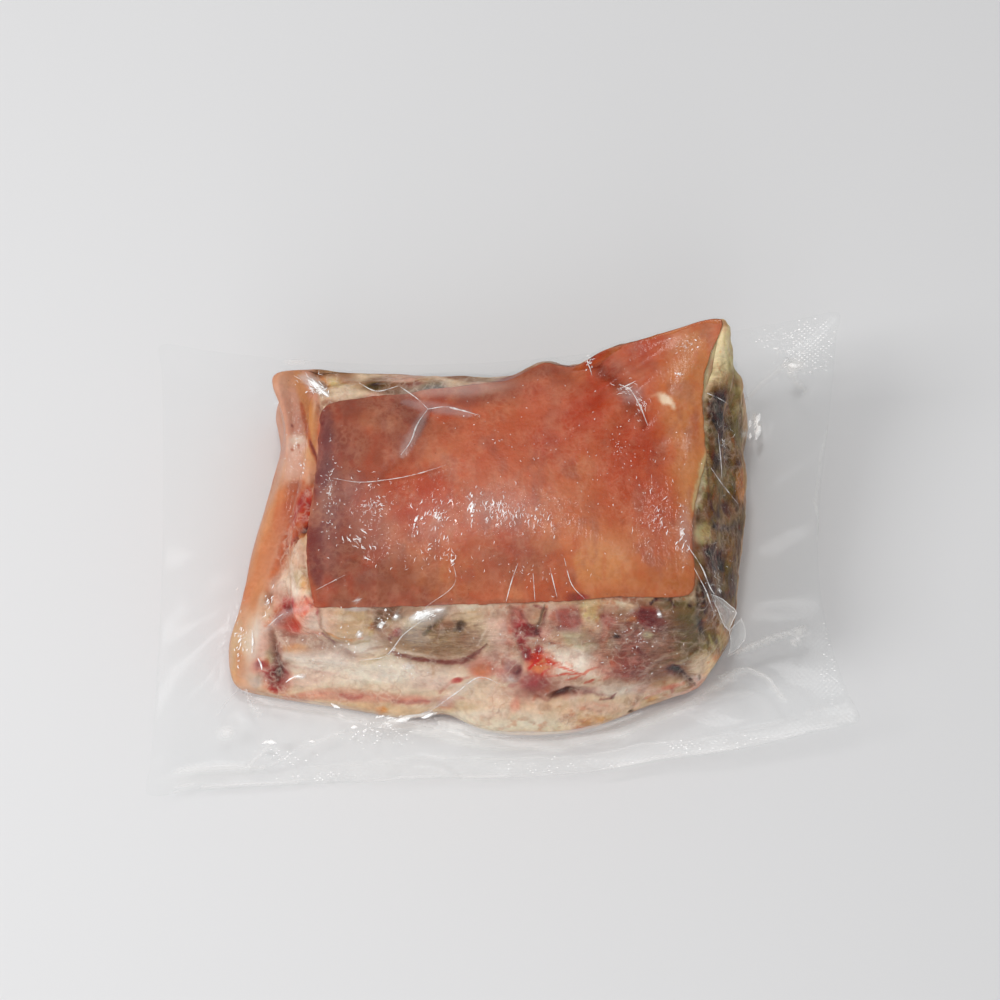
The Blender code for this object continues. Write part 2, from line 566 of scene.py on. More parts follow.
@dataclass(frozen=True)
class PackForm:
    """The sealed pack's outer form, from named outlines and the rings between them."""

    centre: tuple[float, float] = (0.5, -1.0)
    film_pair: float = 0.5
    ripple_height: float = 0.4
    ripples_round: int = 22
    underside_inset: float = 1.6
    lower_bulge: float = 1.5
    upper_bulge: float = 3.5
    top_middle: tuple[float, float] = (2.0, 6.0)
    top_height: float = 67.0
    fold_start: tuple[float, float] = (34.0, 66.0)
    fold_end: tuple[float, float] = (62.0, 26.0)
    fold_half_width: float = 9.0
    fold_depth: float = 3.0
    rim: Outline = Outline(
        corners=(
            (-147.0, -107.0, 5.0), (147.0, -79.0, 16.0),
            (145.0, 109.0, 22.0), (-148.0, 94.0, 20.0),
        ),
        bow=(7.0, -12.0, -12.0, -3.0),
        lean=(-3.0, -3.0, 1.0, 0.0),
        lift=(-5.0, -4.0, -8.0, 0.0),
        softness=0,
    )
    foot: Outline = Outline(
        corners=(
            (-115.0, -63.0, 8.0), (86.0, -65.0, 9.0),
            (107.0, 77.0, 10.0), (-105.0, 74.0, 9.0),
        ),
        bow=(16.0, 9.0, 2.0, -3.0),
        lean=(-5.0, 2.5, 2.0, -2.5),
        lift=(-1.0, 0.0, -1.0, 0.0),
        softness=3,
    )
    shoulder: Outline = Outline(
        corners=(
            (-111.0, -54.0, 22.0), (91.0, -57.0, 26.0),
            (101.0, 73.0, 46.0), (-96.0, 67.0, 51.0),
        ),
        bow=(15.0, 8.0, 3.0, -3.0),
        lean=(-4.5, 1.0, 2.0, -4.0),
        lift=(-2.0, -6.0, -19.0, -2.0),
        softness=2,
    )
    seam: Outline = Outline(
        corners=(
            (-87.0, -52.0, 35.0), (88.0, -53.0, 40.0),
            (97.0, 75.0, 58.0), (-80.0, 64.0, 46.0),
        ),
        bow=(6.0, 2.0, -2.0, 4.0),
        lean=(0.0, 1.5, 2.0, -4.0),
        lift=(-1.0, -4.0, -6.0, 1.0),
        softness=2,
    )
    crown: Outline = Outline(
        corners=(
            (-78.0, -45.0, 56.0), (80.0, -43.0, 60.0),
            (94.0, 80.0, 77.0), (-78.0, 49.0, 55.0),
        ),
        bow=(1.0, -5.0, -4.5, 4.0),
        lean=(0.0, 0.0, 0.5, -1.0),
        lift=(0.0, -4.0, -2.0, 0.0),
        softness=1,
    )

    @staticmethod
    def outward(ring: np.ndarray) -> np.ndarray:
        """Return the level direction away from a ring's middle at each of its points."""
        away = ring - ring.mean(axis=0)
        away[:, 2] = 0.0
        return away / np.linalg.norm(away, axis=1)[:, None]

    def grown(self, ring: np.ndarray, amount: float, rise: float = 0.0) -> np.ndarray:
        """Return a ring moved outwards and up by millimetres."""
        return ring + self.outward(ring) * amount + np.array((0.0, 0.0, rise))

    def between(self, inner: np.ndarray, outer: np.ndarray, bulge: float) -> np.ndarray:
        """Return the ring halfway between two, pushed outwards."""
        return self.grown(0.5 * (inner + outer), bulge)

    def margin(self, share: float) -> np.ndarray:
        """Return a ring of the margin, from the foot at 0 to the rim at 1."""
        foot = self.foot.ring()
        ring = foot + (self.rim.ring() - foot) * share
        turns = np.linspace(0.0, 2.0 * math.pi, len(ring), endpoint=False)
        ripple = math.sin(math.pi * share) * np.sin(self.ripples_round * turns)
        ring[:, 2] += self.ripple_height * ripple
        return ring

    def top(self, share: float) -> np.ndarray:
        """Return a ring of the top, from the crown at 1 to the middle at 0."""
        crown = self.crown.ring()
        middle = np.array((*self.top_middle, self.top_height))
        ring = middle + (crown - middle) * share
        ring[:, 2] = self.top_height + (crown[:, 2] - self.top_height) * share**3
        start = np.array(self.fold_start)
        along = np.array(self.fold_end) - start
        part = np.clip((ring[:, :2] - start) @ along / (along @ along), 0.0, 1.0)
        distance = np.linalg.norm(ring[:, :2] - start - part[:, None] * along, axis=1)
        ring[:, 2] -= self.fold_depth * np.exp(-((distance / self.fold_half_width) ** 2))
        return ring

    def underside(self, share: float) -> np.ndarray:
        """Return a level ring of the flat underside at a share of its full size."""
        foot = self.foot.ring()
        edge = foot - self.outward(foot) * self.underside_inset
        middle = edge.mean(axis=0)
        ring = middle + (edge - middle) * share
        ring[:, 2] = 0.0
        return ring

    def lower_side(self) -> list[np.ndarray]:
        """Return the rings of the lower slab's side, from its foot to the seam."""
        foot, shoulder, seam = self.foot.ring(), self.shoulder.ring(), self.seam.ring()
        lower = self.between(foot, shoulder, self.lower_bulge)
        upper = self.between(shoulder, seam, self.lower_bulge)
        return [foot, lower, shoulder, upper, seam]

    def upper_side(self) -> list[np.ndarray]:
        """Return the rings of the upper slab's side, from the seam to the crown."""
        seam, crown = self.seam.ring(), self.crown.ring()
        return [seam, self.between(seam, crown, self.upper_bulge), crown]

    def top_rings(self) -> list[np.ndarray]:
        """Return the rings inside the crown, the last of them small."""
        return [self.top(share) for share in (0.93, 0.78, 0.6, 0.42, 0.22, 0.06)]

    def sheet(
        self,
        keys: list[np.ndarray],
        row_gaps: list[float],
        side_columns: tuple[int, ...],
        firm: bool = False,
    ) -> RingSheet:
        """Return a fine surface through coarse rings.

        Args:
            keys: coarse rings, from the lower pole to the upper one.
            row_gaps: distance between fine rings after each key but the last, in millimetres.
            side_columns: fine columns on the front, right, back and left.
            firm: whether the surface keeps sharp turns at its keys.

        Returns:
            The surface, in the frame of the finished pack.
        """
        shift = np.array((*self.centre, 0.0))
        coarse = np.stack([fine_columns(key, side_columns) for key in keys]) + shift
        reach = np.linalg.norm(np.diff(coarse, axis=0), axis=2).mean(axis=1)
        knots = np.concatenate(((0.0,), np.cumsum(reach)))
        wanted = [
            np.linspace(start, end, max(1, round((end - start) / gap)), endpoint=False)
            for start, end, gap in zip(knots, knots[1:], row_gaps)
        ]
        levels = np.concatenate((*wanted, knots[-1:]))
        turns = np.concatenate([side + np.arange(n) / n for side, n in enumerate(side_columns)])
        rows = spline(coarse, knots, levels, firm)
        points = rows.reshape(-1, 3)
        points += sum(nudge.shift(points) for nudge in NUDGES)
        return RingSheet(rows, levels, knots, turns)


def hermite(
    share: np.ndarray,
    start: np.ndarray,
    end: np.ndarray,
    slope_in: np.ndarray,
    slope_out: np.ndarray,
) -> np.ndarray:
    """Return points on the smooth curve from one end to the other.

    Args:
        share: shares of the way.
        start: where the curve starts.
        end: where it ends.
        slope_in: its slope at the start.
        slope_out: its slope at the end.

    Returns:
        The points.
    """
    square, cube = share**2, share**3
    curve = (2 * cube - 3 * square + 1) * start + (3 * square - 2 * cube) * end
    return curve + (cube - 2 * square + share) * slope_in + (cube - square) * slope_out


def fine_columns(ring: np.ndarray, side_columns: tuple[int, ...]) -> np.ndarray:
    """Return a closed ring with its own number of columns on each side.

    Args:
        ring: closed ring with equally many points on each side.
        side_columns: columns wanted on each side.

    Returns:
        The finer ring, curved through the given points and cornered where they corner.
    """
    per_side = len(ring) // 4
    parts = [side * per_side + np.arange(n) * per_side / n for side, n in enumerate(side_columns)]
    where = np.concatenate(parts)
    cell = np.floor(where).astype(int)
    before, start, end, after = (ring[(cell + k) % len(ring)] for k in (-1, 0, 1, 2))
    share = (where - cell)[:, None]
    return hermite(share, start, end, 0.5 * (end - before), 0.5 * (after - start))


def firm_slopes(keys: np.ndarray, knots: np.ndarray) -> np.ndarray:
    """Return slopes at the keys that never carry a curve past them."""
    gaps = np.diff(knots)[:, None, None]
    chords = np.diff(keys, axis=0) / gaps
    before, after = chords[:-1], chords[1:]
    near = 2.0 * gaps[1:] + gaps[:-1]
    far = gaps[1:] + 2.0 * gaps[:-1]
    same = before * after > 1e-12
    lower = np.where(same, before, 1.0)
    upper = np.where(same, after, 1.0)
    inner = np.where(same, (near + far) / (near / lower + far / upper), 0.0)
    return np.concatenate((chords[:1], inner, chords[-1:]))


def spline(
    keys: np.ndarray, knots: np.ndarray, wanted: np.ndarray, firm: bool = False
) -> np.ndarray:
    """Curve smoothly through key rings.

    Args:
        keys: one ring for each knot.
        knots: rising distances of the rings.
        wanted: distances at which rings are wanted.
        firm: whether the curve keeps sharp turns at its keys.

    Returns:
        The rings at the wanted distances.
    """
    slopes = firm_slopes(keys, knots) if firm else np.gradient(keys, knots, axis=0)
    cell = np.clip(np.searchsorted(knots, wanted, side="right") - 1, 0, len(knots) - 2)
    span = (knots[cell + 1] - knots[cell])[:, None, None]
    share = (wanted - knots[cell])[:, None, None] / span
    return hermite(share, keys[cell], keys[cell + 1], span * slopes[cell], span * slopes[cell + 1])


@dataclass
class Painter:
    """Lays dabs and streaks of colour and height onto a surface from the viewpoint."""

    sheet: RingSheet
    viewpoint: Viewpoint
    wander: float = 2.4
    seed: int = 5
    places: np.ndarray = field(init=False)
    seen: np.ndarray = field(init=False)
    facing: np.ndarray = field(init=False)

    def __post_init__(self) -> None:
        """Work out where each point lies in the frame, with ragged edges."""
        points = self.sheet.points()
        ragged = [
            grain.value(points, 7.0) + 0.55 * grain.layered(points, 1.9, 2)
            for grain in (Grain(self.seed), Grain(self.seed + 40))
        ]
        self.places = self.viewpoint.place(points) + np.stack(ragged, axis=1) * self.wander
        self.facing = self.viewpoint.facing(points, self.sheet.normals().reshape(-1, 3))
        self.seen = smooth_step(-0.05, 0.18, self.facing)

    def summed(self, marks: Marks) -> np.ndarray:
        """Return the summed height of marks at each point, seen or not, in millimetres."""
        return sum(mark.what * mark.weight(self.places) for mark in marks)

    def largest(self, marks: Marks) -> np.ndarray:
        """Return the largest weight of any mark at each point, seen or not."""
        return np.max([mark.weight(self.places) for mark in marks], axis=0)

    def height(self, marks: Marks) -> np.ndarray:
        """Return the summed height of marks at each point that is seen, in millimetres."""
        return self.summed(marks) * self.seen

    def cover(self, marks: Marks) -> np.ndarray:
        """Return the largest weight of any mark at each point that is seen."""
        return self.largest(marks) * self.seen

    def paint(self, colour: np.ndarray, marks: Marks) -> np.ndarray:
        """Lay marks over a display colour, in order.

        Args:
            colour: display colour at each point.
            marks: the marks, whose what is a Tint.

        Returns:
            The painted display colour.
        """
        for mark in marks:
            colour = mixed(colour, mark.what, mark.weight(self.places) * self.seen)
        return colour


def mixed(colour: np.ndarray, tint: Tint, share: np.ndarray) -> np.ndarray:
    """Return a display colour with a share of a tint mixed in at each point."""
    return colour + (tint.shown - colour) * share[:, None]


def with_patches(colour: np.ndarray, points: np.ndarray) -> np.ndarray:
    """Return rind's display colour with scattered patches of its other tints."""
    for tint, seed, size, most in RIND_PATCHES:
        share = smooth_step(0.1, 0.7, Grain(seed).layered(points, size, 3))
        colour = mixed(colour, tint, most * share)
    return colour


def between_tints(first: Tint, second: Tint, share: np.ndarray) -> np.ndarray:
    """Return the display colour at a share of the way from one tint to another."""
    return mixed(np.tile(first.shown, (len(share), 1)), second, share)


def tissue_piece(
    name: str, sheet: RingSheet, colour: np.ndarray, kind: tuple[np.ndarray, ...]
) -> bpy.types.Object:
    """Return a piece of tissue with its looks stored at each point.

    Args:
        name: the piece's name.
        sheet: its surface.
        colour: linear colour at each point.
        kind: shares of rind, of lean and of wetness at each point.

    Returns:
        The piece, without a material.
    """
    mesh = sheet.mesh(name)
    add_colour(mesh, "tint", colour)
    add_colour(mesh, "kind", np.stack(kind, axis=1))
    return add_object(name, mesh)


class NodeTree:
    """Adds and links the nodes of one tree."""

    def __init__(self, tree: bpy.types.NodeTree) -> None:
        """Hold the tree and empty it."""
        self.tree = tree
        tree.nodes.clear()

    def add(
        self, kind: str, inputs: dict[str | int, object] | None = None, **settings: object
    ) -> bpy.types.Node:
        """Add a node.

        Args:
            kind: the node's type.
            inputs: a socket or a value for each input, by its name or number.
            settings: the node's properties, such as its operation.

        Returns:
            The new node.
        """
        node = self.tree.nodes.new(kind)
        for name, value in settings.items():
            setattr(node, name, value)
        for key, value in (inputs or {}).items():
            self.feed(node.inputs[key], value)
        return node

    def feed(self, target: bpy.types.NodeSocket, value: object) -> None:
        """Link a socket to an input, or set the input's own value."""
        if isinstance(value, bpy.types.NodeSocket):
            self.tree.links.new(value, target)
        else:
            target.default_value = value

    def math(
        self, operation: str, first: object, second: object = 0.0, clamp: bool = False
    ) -> bpy.types.NodeSocket:
        """Add a math node.

        Args:
            operation: what it works out.
            first: a socket or a number.
            second: a socket or a number.
            clamp: whether the result stays from 0 to 1.

        Returns:
            Its output.
        """
        inputs = {0: first, 1: second}
        return self.add("ShaderNodeMath", inputs, operation=operation, use_clamp=clamp).outputs[0]

    def times(self, first: object, second: object, clamp: bool = False) -> bpy.types.NodeSocket:
        """Return the product of two values."""
        return self.math("MULTIPLY", first, second, clamp)

    def plus(self, first: object, second: object, clamp: bool = False) -> bpy.types.NodeSocket:
        """Return the sum of two values."""
        return self.math("ADD", first, second, clamp)

    def minus(self, first: object, second: object, clamp: bool = False) -> bpy.types.NodeSocket:
        """Return the first value less the second."""
        return self.math("SUBTRACT", first, second, clamp)

    def blend(
        self, kind: str, share: object, first: object, second: object
    ) -> bpy.types.NodeSocket:
        """Add a colour mix.

        Args:
            kind: how the colours mix.
            share: a socket or a number.
            first: the lower colour, as a socket or a value.
            second: the upper colour, as a socket or a value.

        Returns:
            The mixed colour.
        """
        inputs = {0: share, 6: first, 7: second}
        return self.add("ShaderNodeMix", inputs, data_type="RGBA", blend_type=kind).outputs[2]

    def grey(self, value: bpy.types.NodeSocket) -> bpy.types.NodeSocket:
        """Return a grey colour of one value."""
        return self.add("ShaderNodeCombineColor", dict.fromkeys(range(3), value)).outputs[0]

    def group(self, tree: bpy.types.NodeTree, **values: float) -> bpy.types.NodeOutputs:
        """Place a node group with its own values and return its outputs."""
        return self.add("ShaderNodeGroup", values, node_tree=tree).outputs

    def here(self) -> bpy.types.NodeSocket:
        """Return the Object coordinates."""
        return self.add("ShaderNodeTexCoord").outputs["Object"]

    def stored(self, name: str) -> bpy.types.NodeSocket:
        """Return the colour stored on the mesh under a name."""
        return self.add("ShaderNodeAttribute", attribute_name=name).outputs["Color"]

    def masks(self) -> tuple[bpy.types.NodeSocket, ...]:
        """Return the three shares stored on the mesh as its kind."""
        return tuple(self.add("ShaderNodeSeparateColor", {0: self.stored("kind")}).outputs[:3])

    def bump(
        self, strength: float, distance: float, height: bpy.types.NodeSocket, **inputs: object
    ) -> bpy.types.NodeSocket:
        """Return the normal that a height gives, over another normal where one is given."""
        inputs |= {"Strength": strength, "Distance": distance, "Height": height}
        return self.add("ShaderNodeBump", inputs).outputs[0]

    def layered(self, share: object, under: bpy.types.Node, over: bpy.types.Node) -> bpy.types.Node:
        """Return a mix of two shaders, with a share of the second."""
        inputs = {0: share, 1: under.outputs[0], 2: over.outputs[0]}
        return self.add("ShaderNodeMixShader", inputs)


def shader_group(
    name: str, inputs: dict[str, float], output: str, *more: str
) -> tuple[NodeTree, bpy.types.NodeOutputs, bpy.types.NodeInputs]:
    """Start a shader node group.

    Args:
        name: the group's name.
        inputs: its float inputs with their defaults.
        output: its first float output.
        more: its other float outputs.

    Returns:
        The tree's helper, what the group is given, and where its results go.
    """
    tree = bpy.data.node_groups.new(name, "ShaderNodeTree")
    for label, default in inputs.items():
        socket = tree.interface.new_socket(label, in_out="INPUT", socket_type="NodeSocketFloat")
        socket.default_value = default
    for label in (output, *more):
        tree.interface.new_socket(label, in_out="OUTPUT", socket_type="NodeSocketFloat")
    nodes = NodeTree(tree)
    return nodes, nodes.add("NodeGroupInput").outputs, nodes.add("NodeGroupOutput").inputs


class SharedEffects:
    """Node groups that more than one material uses, all on Object coordinates."""

    def __init__(self) -> None:
        """Build each group once."""
        self.mottle = self._mottle()
        self.pores = self._pores()
        self.fibres = self._fibres()
        self.strands = self._strands()
        self.crinkle = self._crinkle()
        self.lattice = self._lattice()

    @staticmethod
    def _noise(
        nodes: NodeTree, vector: bpy.types.NodeSocket, scale: object, detail: float = 3.0
    ) -> bpy.types.NodeSocket:
        """Add a noise texture and return its value."""
        inputs = {"Vector": vector, "Scale": scale, "Detail": detail}
        return nodes.add("ShaderNodeTexNoise", inputs).outputs[0]

    def _mottle(self) -> bpy.types.NodeTree:
        """Uneven tone around 1, from a coarse and a fine noise."""
        sizes = {"Coarse": 120.0, "Fine": 900.0, "Amount": 0.2}
        nodes, given, result = shader_group("uneven_tone", sizes, "Tone", "Height")
        place = nodes.here()
        coarse = self._noise(nodes, place, given["Coarse"])
        fine = self._noise(nodes, place, given["Fine"], 4.0)
        centred = nodes.minus(nodes.plus(coarse, nodes.times(fine, 0.7)), 0.85)
        nodes.feed(result["Tone"], nodes.plus(nodes.times(centred, given["Amount"]), 1.0))
        nodes.feed(result["Height"], fine)
        return nodes.tree

    @staticmethod
    def _pores() -> bpy.types.NodeTree:
        """Small round pores in rind, only in some cells."""
        sizes = {"Scale": 330.0, "Radius": 0.11, "Share": 0.55}
        nodes, given, result = shader_group("skin_pores", sizes, "Pore")
        inputs = {"Vector": nodes.here(), "Scale": given["Scale"]}
        cells = nodes.add("ShaderNodeTexVoronoi", inputs).outputs
        spot = nodes.times(nodes.minus(given["Radius"], cells["Distance"]), 14.0, clamp=True)
        picked = nodes.add("ShaderNodeSeparateColor", {0: cells["Color"]}).outputs[0]
        chosen = nodes.math("GREATER_THAN", picked, given["Share"])
        nodes.feed(result["Pore"], nodes.times(spot, chosen))
        return nodes.tree

    @staticmethod
    def _fibres() -> bpy.types.NodeTree:
        """Fine bundled muscle fibres that run across and wander."""
        sizes = {"Scale": 260.0, "Wander": 6.0}
        nodes, given, result = shader_group("muscle_fibres", sizes, "Fibre")
        inputs = {"Vector": nodes.here(), "Scale": (0.22, 1.0, 1.0)}
        drawn = nodes.add("ShaderNodeMapping", inputs).outputs[0]
        inputs = {"Vector": drawn, "Scale": given["Scale"], "Detail": 5.0}
        inputs["Distortion"] = given["Wander"]
        nodes.feed(result["Fibre"], nodes.add("ShaderNodeTexNoise", inputs).outputs[0])
        return nodes.tree

    def _strands(self) -> bpy.types.NodeTree:
        """Thin wandering lines, strong in some places and gone in others."""
        sizes = {"Scale": 200.0, "Thin": 9.0}
        nodes, given, result = shader_group("thin_strands", sizes, "Strand")
        place = nodes.here()
        ridge = nodes.math("ABSOLUTE", nodes.minus(self._noise(nodes, place, given["Scale"]), 0.5))
        line = nodes.minus(1.0, nodes.times(ridge, given["Thin"]))
        sharp = nodes.math("POWER", nodes.math("MAXIMUM", line, 0.0), 2.0)
        patch = self._noise(nodes, place, 90.0, 2.0)
        where = nodes.times(nodes.minus(patch, 0.38), 4.0, clamp=True)
        nodes.feed(result["Strand"], nodes.times(sharp, where))
        return nodes.tree

    def _crinkle(self) -> bpy.types.NodeTree:
        """Fine creases of tight film, drawn out from front to back."""
        sizes = {"Scale": 300.0, "Drawn": 0.35}
        nodes, given, result = shader_group("film_crinkle", sizes, "Height")
        place = nodes.here()
        x, y, z = nodes.add("ShaderNodeSeparateXYZ", {0: place}).outputs
        joined = {0: x, 1: nodes.times(y, given["Drawn"]), 2: z}
        drawn = nodes.add("ShaderNodeCombineXYZ", joined).outputs[0]
        rough = self._noise(nodes, drawn, given["Scale"], 4.0)
        ridge = nodes.math("ABSOLUTE", nodes.minus(rough, 0.5))
        sharp = nodes.minus(1.0, nodes.times(ridge, 6.0, clamp=True))
        nodes.feed(result["Height"], nodes.plus(sharp, self._noise(nodes, place, 70.0, 2.0)))
        return nodes.tree

    @staticmethod
    def _lattice() -> bpy.types.NodeTree:
        """The embossed lattice of small raised diamonds in the bag's film."""
        nodes, given, result = shader_group("embossed_lattice", {"Pitch": 0.0023}, "Height")
        place = nodes.add("ShaderNodeSeparateXYZ", {0: nodes.here()}).outputs
        turns = nodes.math("DIVIDE", 2.0 * math.pi, given["Pitch"])
        waves = [nodes.math("COSINE", nodes.times(place[axis], turns)) for axis in (0, 1)]
        nodes.feed(result["Height"], nodes.times(*waves))
        return nodes.tree


def new_material(name: str) -> tuple[bpy.types.Material, NodeTree, bpy.types.NodeSocket]:
    """Return a new material, its emptied tree and the input that takes its shader."""
    material = bpy.data.materials.new(name)
    material.use_nodes = True
    nodes = NodeTree(material.node_tree)
    return material, nodes, nodes.add("ShaderNodeOutputMaterial").inputs[0]


@dataclass(frozen=True)
class TissueFinish:
    """Moist rind, fat and lean, coloured by the painted tint and worked over by fine grain."""

    name: str
    roughness: float = 0.5
    scatter: float = 0.12
    scatter_reach: float = 0.004
    bump: float = 0.5

    def material(self, effects: SharedEffects) -> bpy.types.Material:
        """Build the material.

        Args:
            effects: the shared node groups.

        Returns:
            The finished material.
        """
        material, nodes, out = new_material(self.name)
        rind, lean, wet = nodes.masks()
        cut = nodes.minus(1.0, rind)
        tone = nodes.group(effects.mottle, Coarse=190.0, Fine=620.0, Amount=0.5)
        even = nodes.minus(1.0, nodes.times(rind, 0.4))
        colour = nodes.blend("MULTIPLY", even, nodes.stored("tint"), nodes.grey(tone["Tone"]))
        crumb = nodes.group(effects.mottle, Coarse=480.0, Fine=1150.0, Amount=0.8)["Tone"]
        grainy = nodes.times(cut, nodes.plus(nodes.times(lean, 0.6), 0.25))
        colour = nodes.blend("MULTIPLY", grainy, colour, nodes.grey(crumb))
        strands, pores = effects.strands, effects.pores
        fine_marks = (
            (nodes.group(strands, Scale=210.0, Thin=9.0), cut, 0.4, (238, 214, 192)),
            (nodes.group(strands, Scale=120.0, Thin=14.0), cut, 0.3, (150, 78, 58)),
            (nodes.group(strands, Scale=330.0, Thin=5.0), rind, 0.14, (232, 176, 140)),
            (nodes.group(pores, Scale=300.0, Radius=0.1, Share=0.5), rind, 0.5, (110, 44, 28)),
            (nodes.group(pores, Scale=120.0, Radius=0.055, Share=0.55), rind, 0.85, (84, 40, 22)),
        )
        shares = []
        for outputs, where, most, tint in fine_marks:
            shares.append(nodes.times(outputs[0], nodes.times(where, most)))
            colour = nodes.blend("MIX", shares[-1], colour, shade(*tint))
        fibre = nodes.group(effects.fibres, Scale=420.0, Wander=2.0)[0]
        contrast = nodes.times(nodes.minus(fibre, 0.5), 3.0)
        dark = nodes.times(nodes.plus(contrast, 0.5, clamp=True), lean)
        colour = nodes.blend("MULTIPLY", nodes.times(dark, 0.7), colour, shade(158, 126, 100))
        height = nodes.minus(tone["Height"], shares[3])
        height = nodes.plus(height, nodes.times(shares[0], 1.5))
        height = nodes.plus(height, nodes.times(dark, -0.5))
        looks = {
            "Base Color": colour,
            "Roughness": nodes.minus(self.roughness, nodes.times(wet, 0.18)),
            "Specular IOR Level": 0.3,
            "Subsurface Weight": self.scatter,
            "Subsurface Radius": (1.0, 0.35, 0.2),
            "Subsurface Scale": self.scatter_reach,
            "Normal": nodes.bump(self.bump, 0.0005, height),
        }
        nodes.feed(out, nodes.add("ShaderNodeBsdfPrincipled", looks).outputs[0])
        return material


@dataclass(frozen=True)
class FilmFinish:
    """Clear embossed film: see-through, glossy, and whitish where it is creased and where painted
    glare is laid.
    """

    name: str = "clear_film"
    roughness: float = 0.13
    square_gloss: float = 0.03
    slant_gloss: float = 0.3
    lattice_bump: float = 0.1
    crinkle_bump: float = 0.7

    def material(self, effects: SharedEffects) -> bpy.types.Material:
        """Build the material.

        Args:
            effects: the shared node groups.

        Returns:
            The finished material.
        """
        material, nodes, out = new_material(self.name)
        margin, haze, tight = nodes.masks()
        stamped = nodes.times(nodes.group(effects.lattice, Pitch=0.0023)[0], margin)
        creased = nodes.times(nodes.group(effects.crinkle, Scale=330.0, Drawn=0.3)[0], tight)
        first = nodes.bump(self.lattice_bump, 0.0006, stamped)
        normal = nodes.bump(self.crinkle_bump, 0.0008, creased, Normal=first)
        white = (1.0, 1.0, 1.0, 1.0)
        looks = {"Color": white, "Roughness": self.roughness, "Normal": normal}
        gloss = nodes.add("ShaderNodeBsdfGlossy", looks)
        clear = nodes.add("ShaderNodeBsdfTransparent", {"Color": (0.992, 0.994, 0.994, 1.0)})
        slant = nodes.add("ShaderNodeLayerWeight", {"Blend": 0.5, "Normal": normal})
        steep = nodes.math("POWER", slant.outputs["Facing"], 4.0)
        share = nodes.plus(nodes.times(steep, self.slant_gloss), self.square_gloss)
        close = nodes.times(nodes.plus(tight, nodes.times(margin, 0.08)), 1.7)
        share = nodes.times(share, nodes.plus(close, 0.035), clamp=True)
        sheen = nodes.layered(share, clear, gloss)
        looks = {"Base Color": (0.9, 0.885, 0.865, 1.0), "Roughness": 0.3}
        milky = nodes.add("ShaderNodeBsdfPrincipled", looks)
        # The haze share lays milky film, both in creases and as painted glare.
        nodes.feed(out, nodes.layered(haze, sheen, milky).outputs[0])
        return material


@dataclass(frozen=True)
class PleatFinish:
    """A sharp fold of film, half clear and whitish on its edges; with a glow set, it glows as a
    painted highlight.
    """

    name: str = "pleated_film"
    clearness: float = 0.62
    glow_as_highlight: float = 0.0

    def material(self) -> bpy.types.Material:
        """Build and return the material."""
        material, nodes, out = new_material(self.name)
        clear = nodes.add("ShaderNodeBsdfTransparent")
        looks = {
            "Base Color": (0.95, 0.94, 0.93, 1.0),
            "Roughness": 0.22,
            # Emission lets a glint glow as a painted highlight.
            "Emission Color": (1.0, 1.0, 1.0, 1.0),
            "Emission Strength": self.glow_as_highlight,
        }
        white = nodes.add("ShaderNodeBsdfPrincipled", looks)
        slant = nodes.add("ShaderNodeLayerWeight", {"Blend": 0.5}).outputs["Facing"]
        share = nodes.times(slant, self.clearness)
        share = nodes.minus(1.0 - self.clearness * 0.5, share, clamp=True)
        inputs = {"Vector": nodes.here(), "Scale": 330.0}
        breaks = nodes.add("ShaderNodeTexNoise", inputs).outputs[0]
        broken = nodes.minus(nodes.times(breaks, 3.2), 0.85)
        share = nodes.times(share, broken, clamp=True)
        nodes.feed(out, nodes.layered(share, clear, white).outputs[0])
        return material


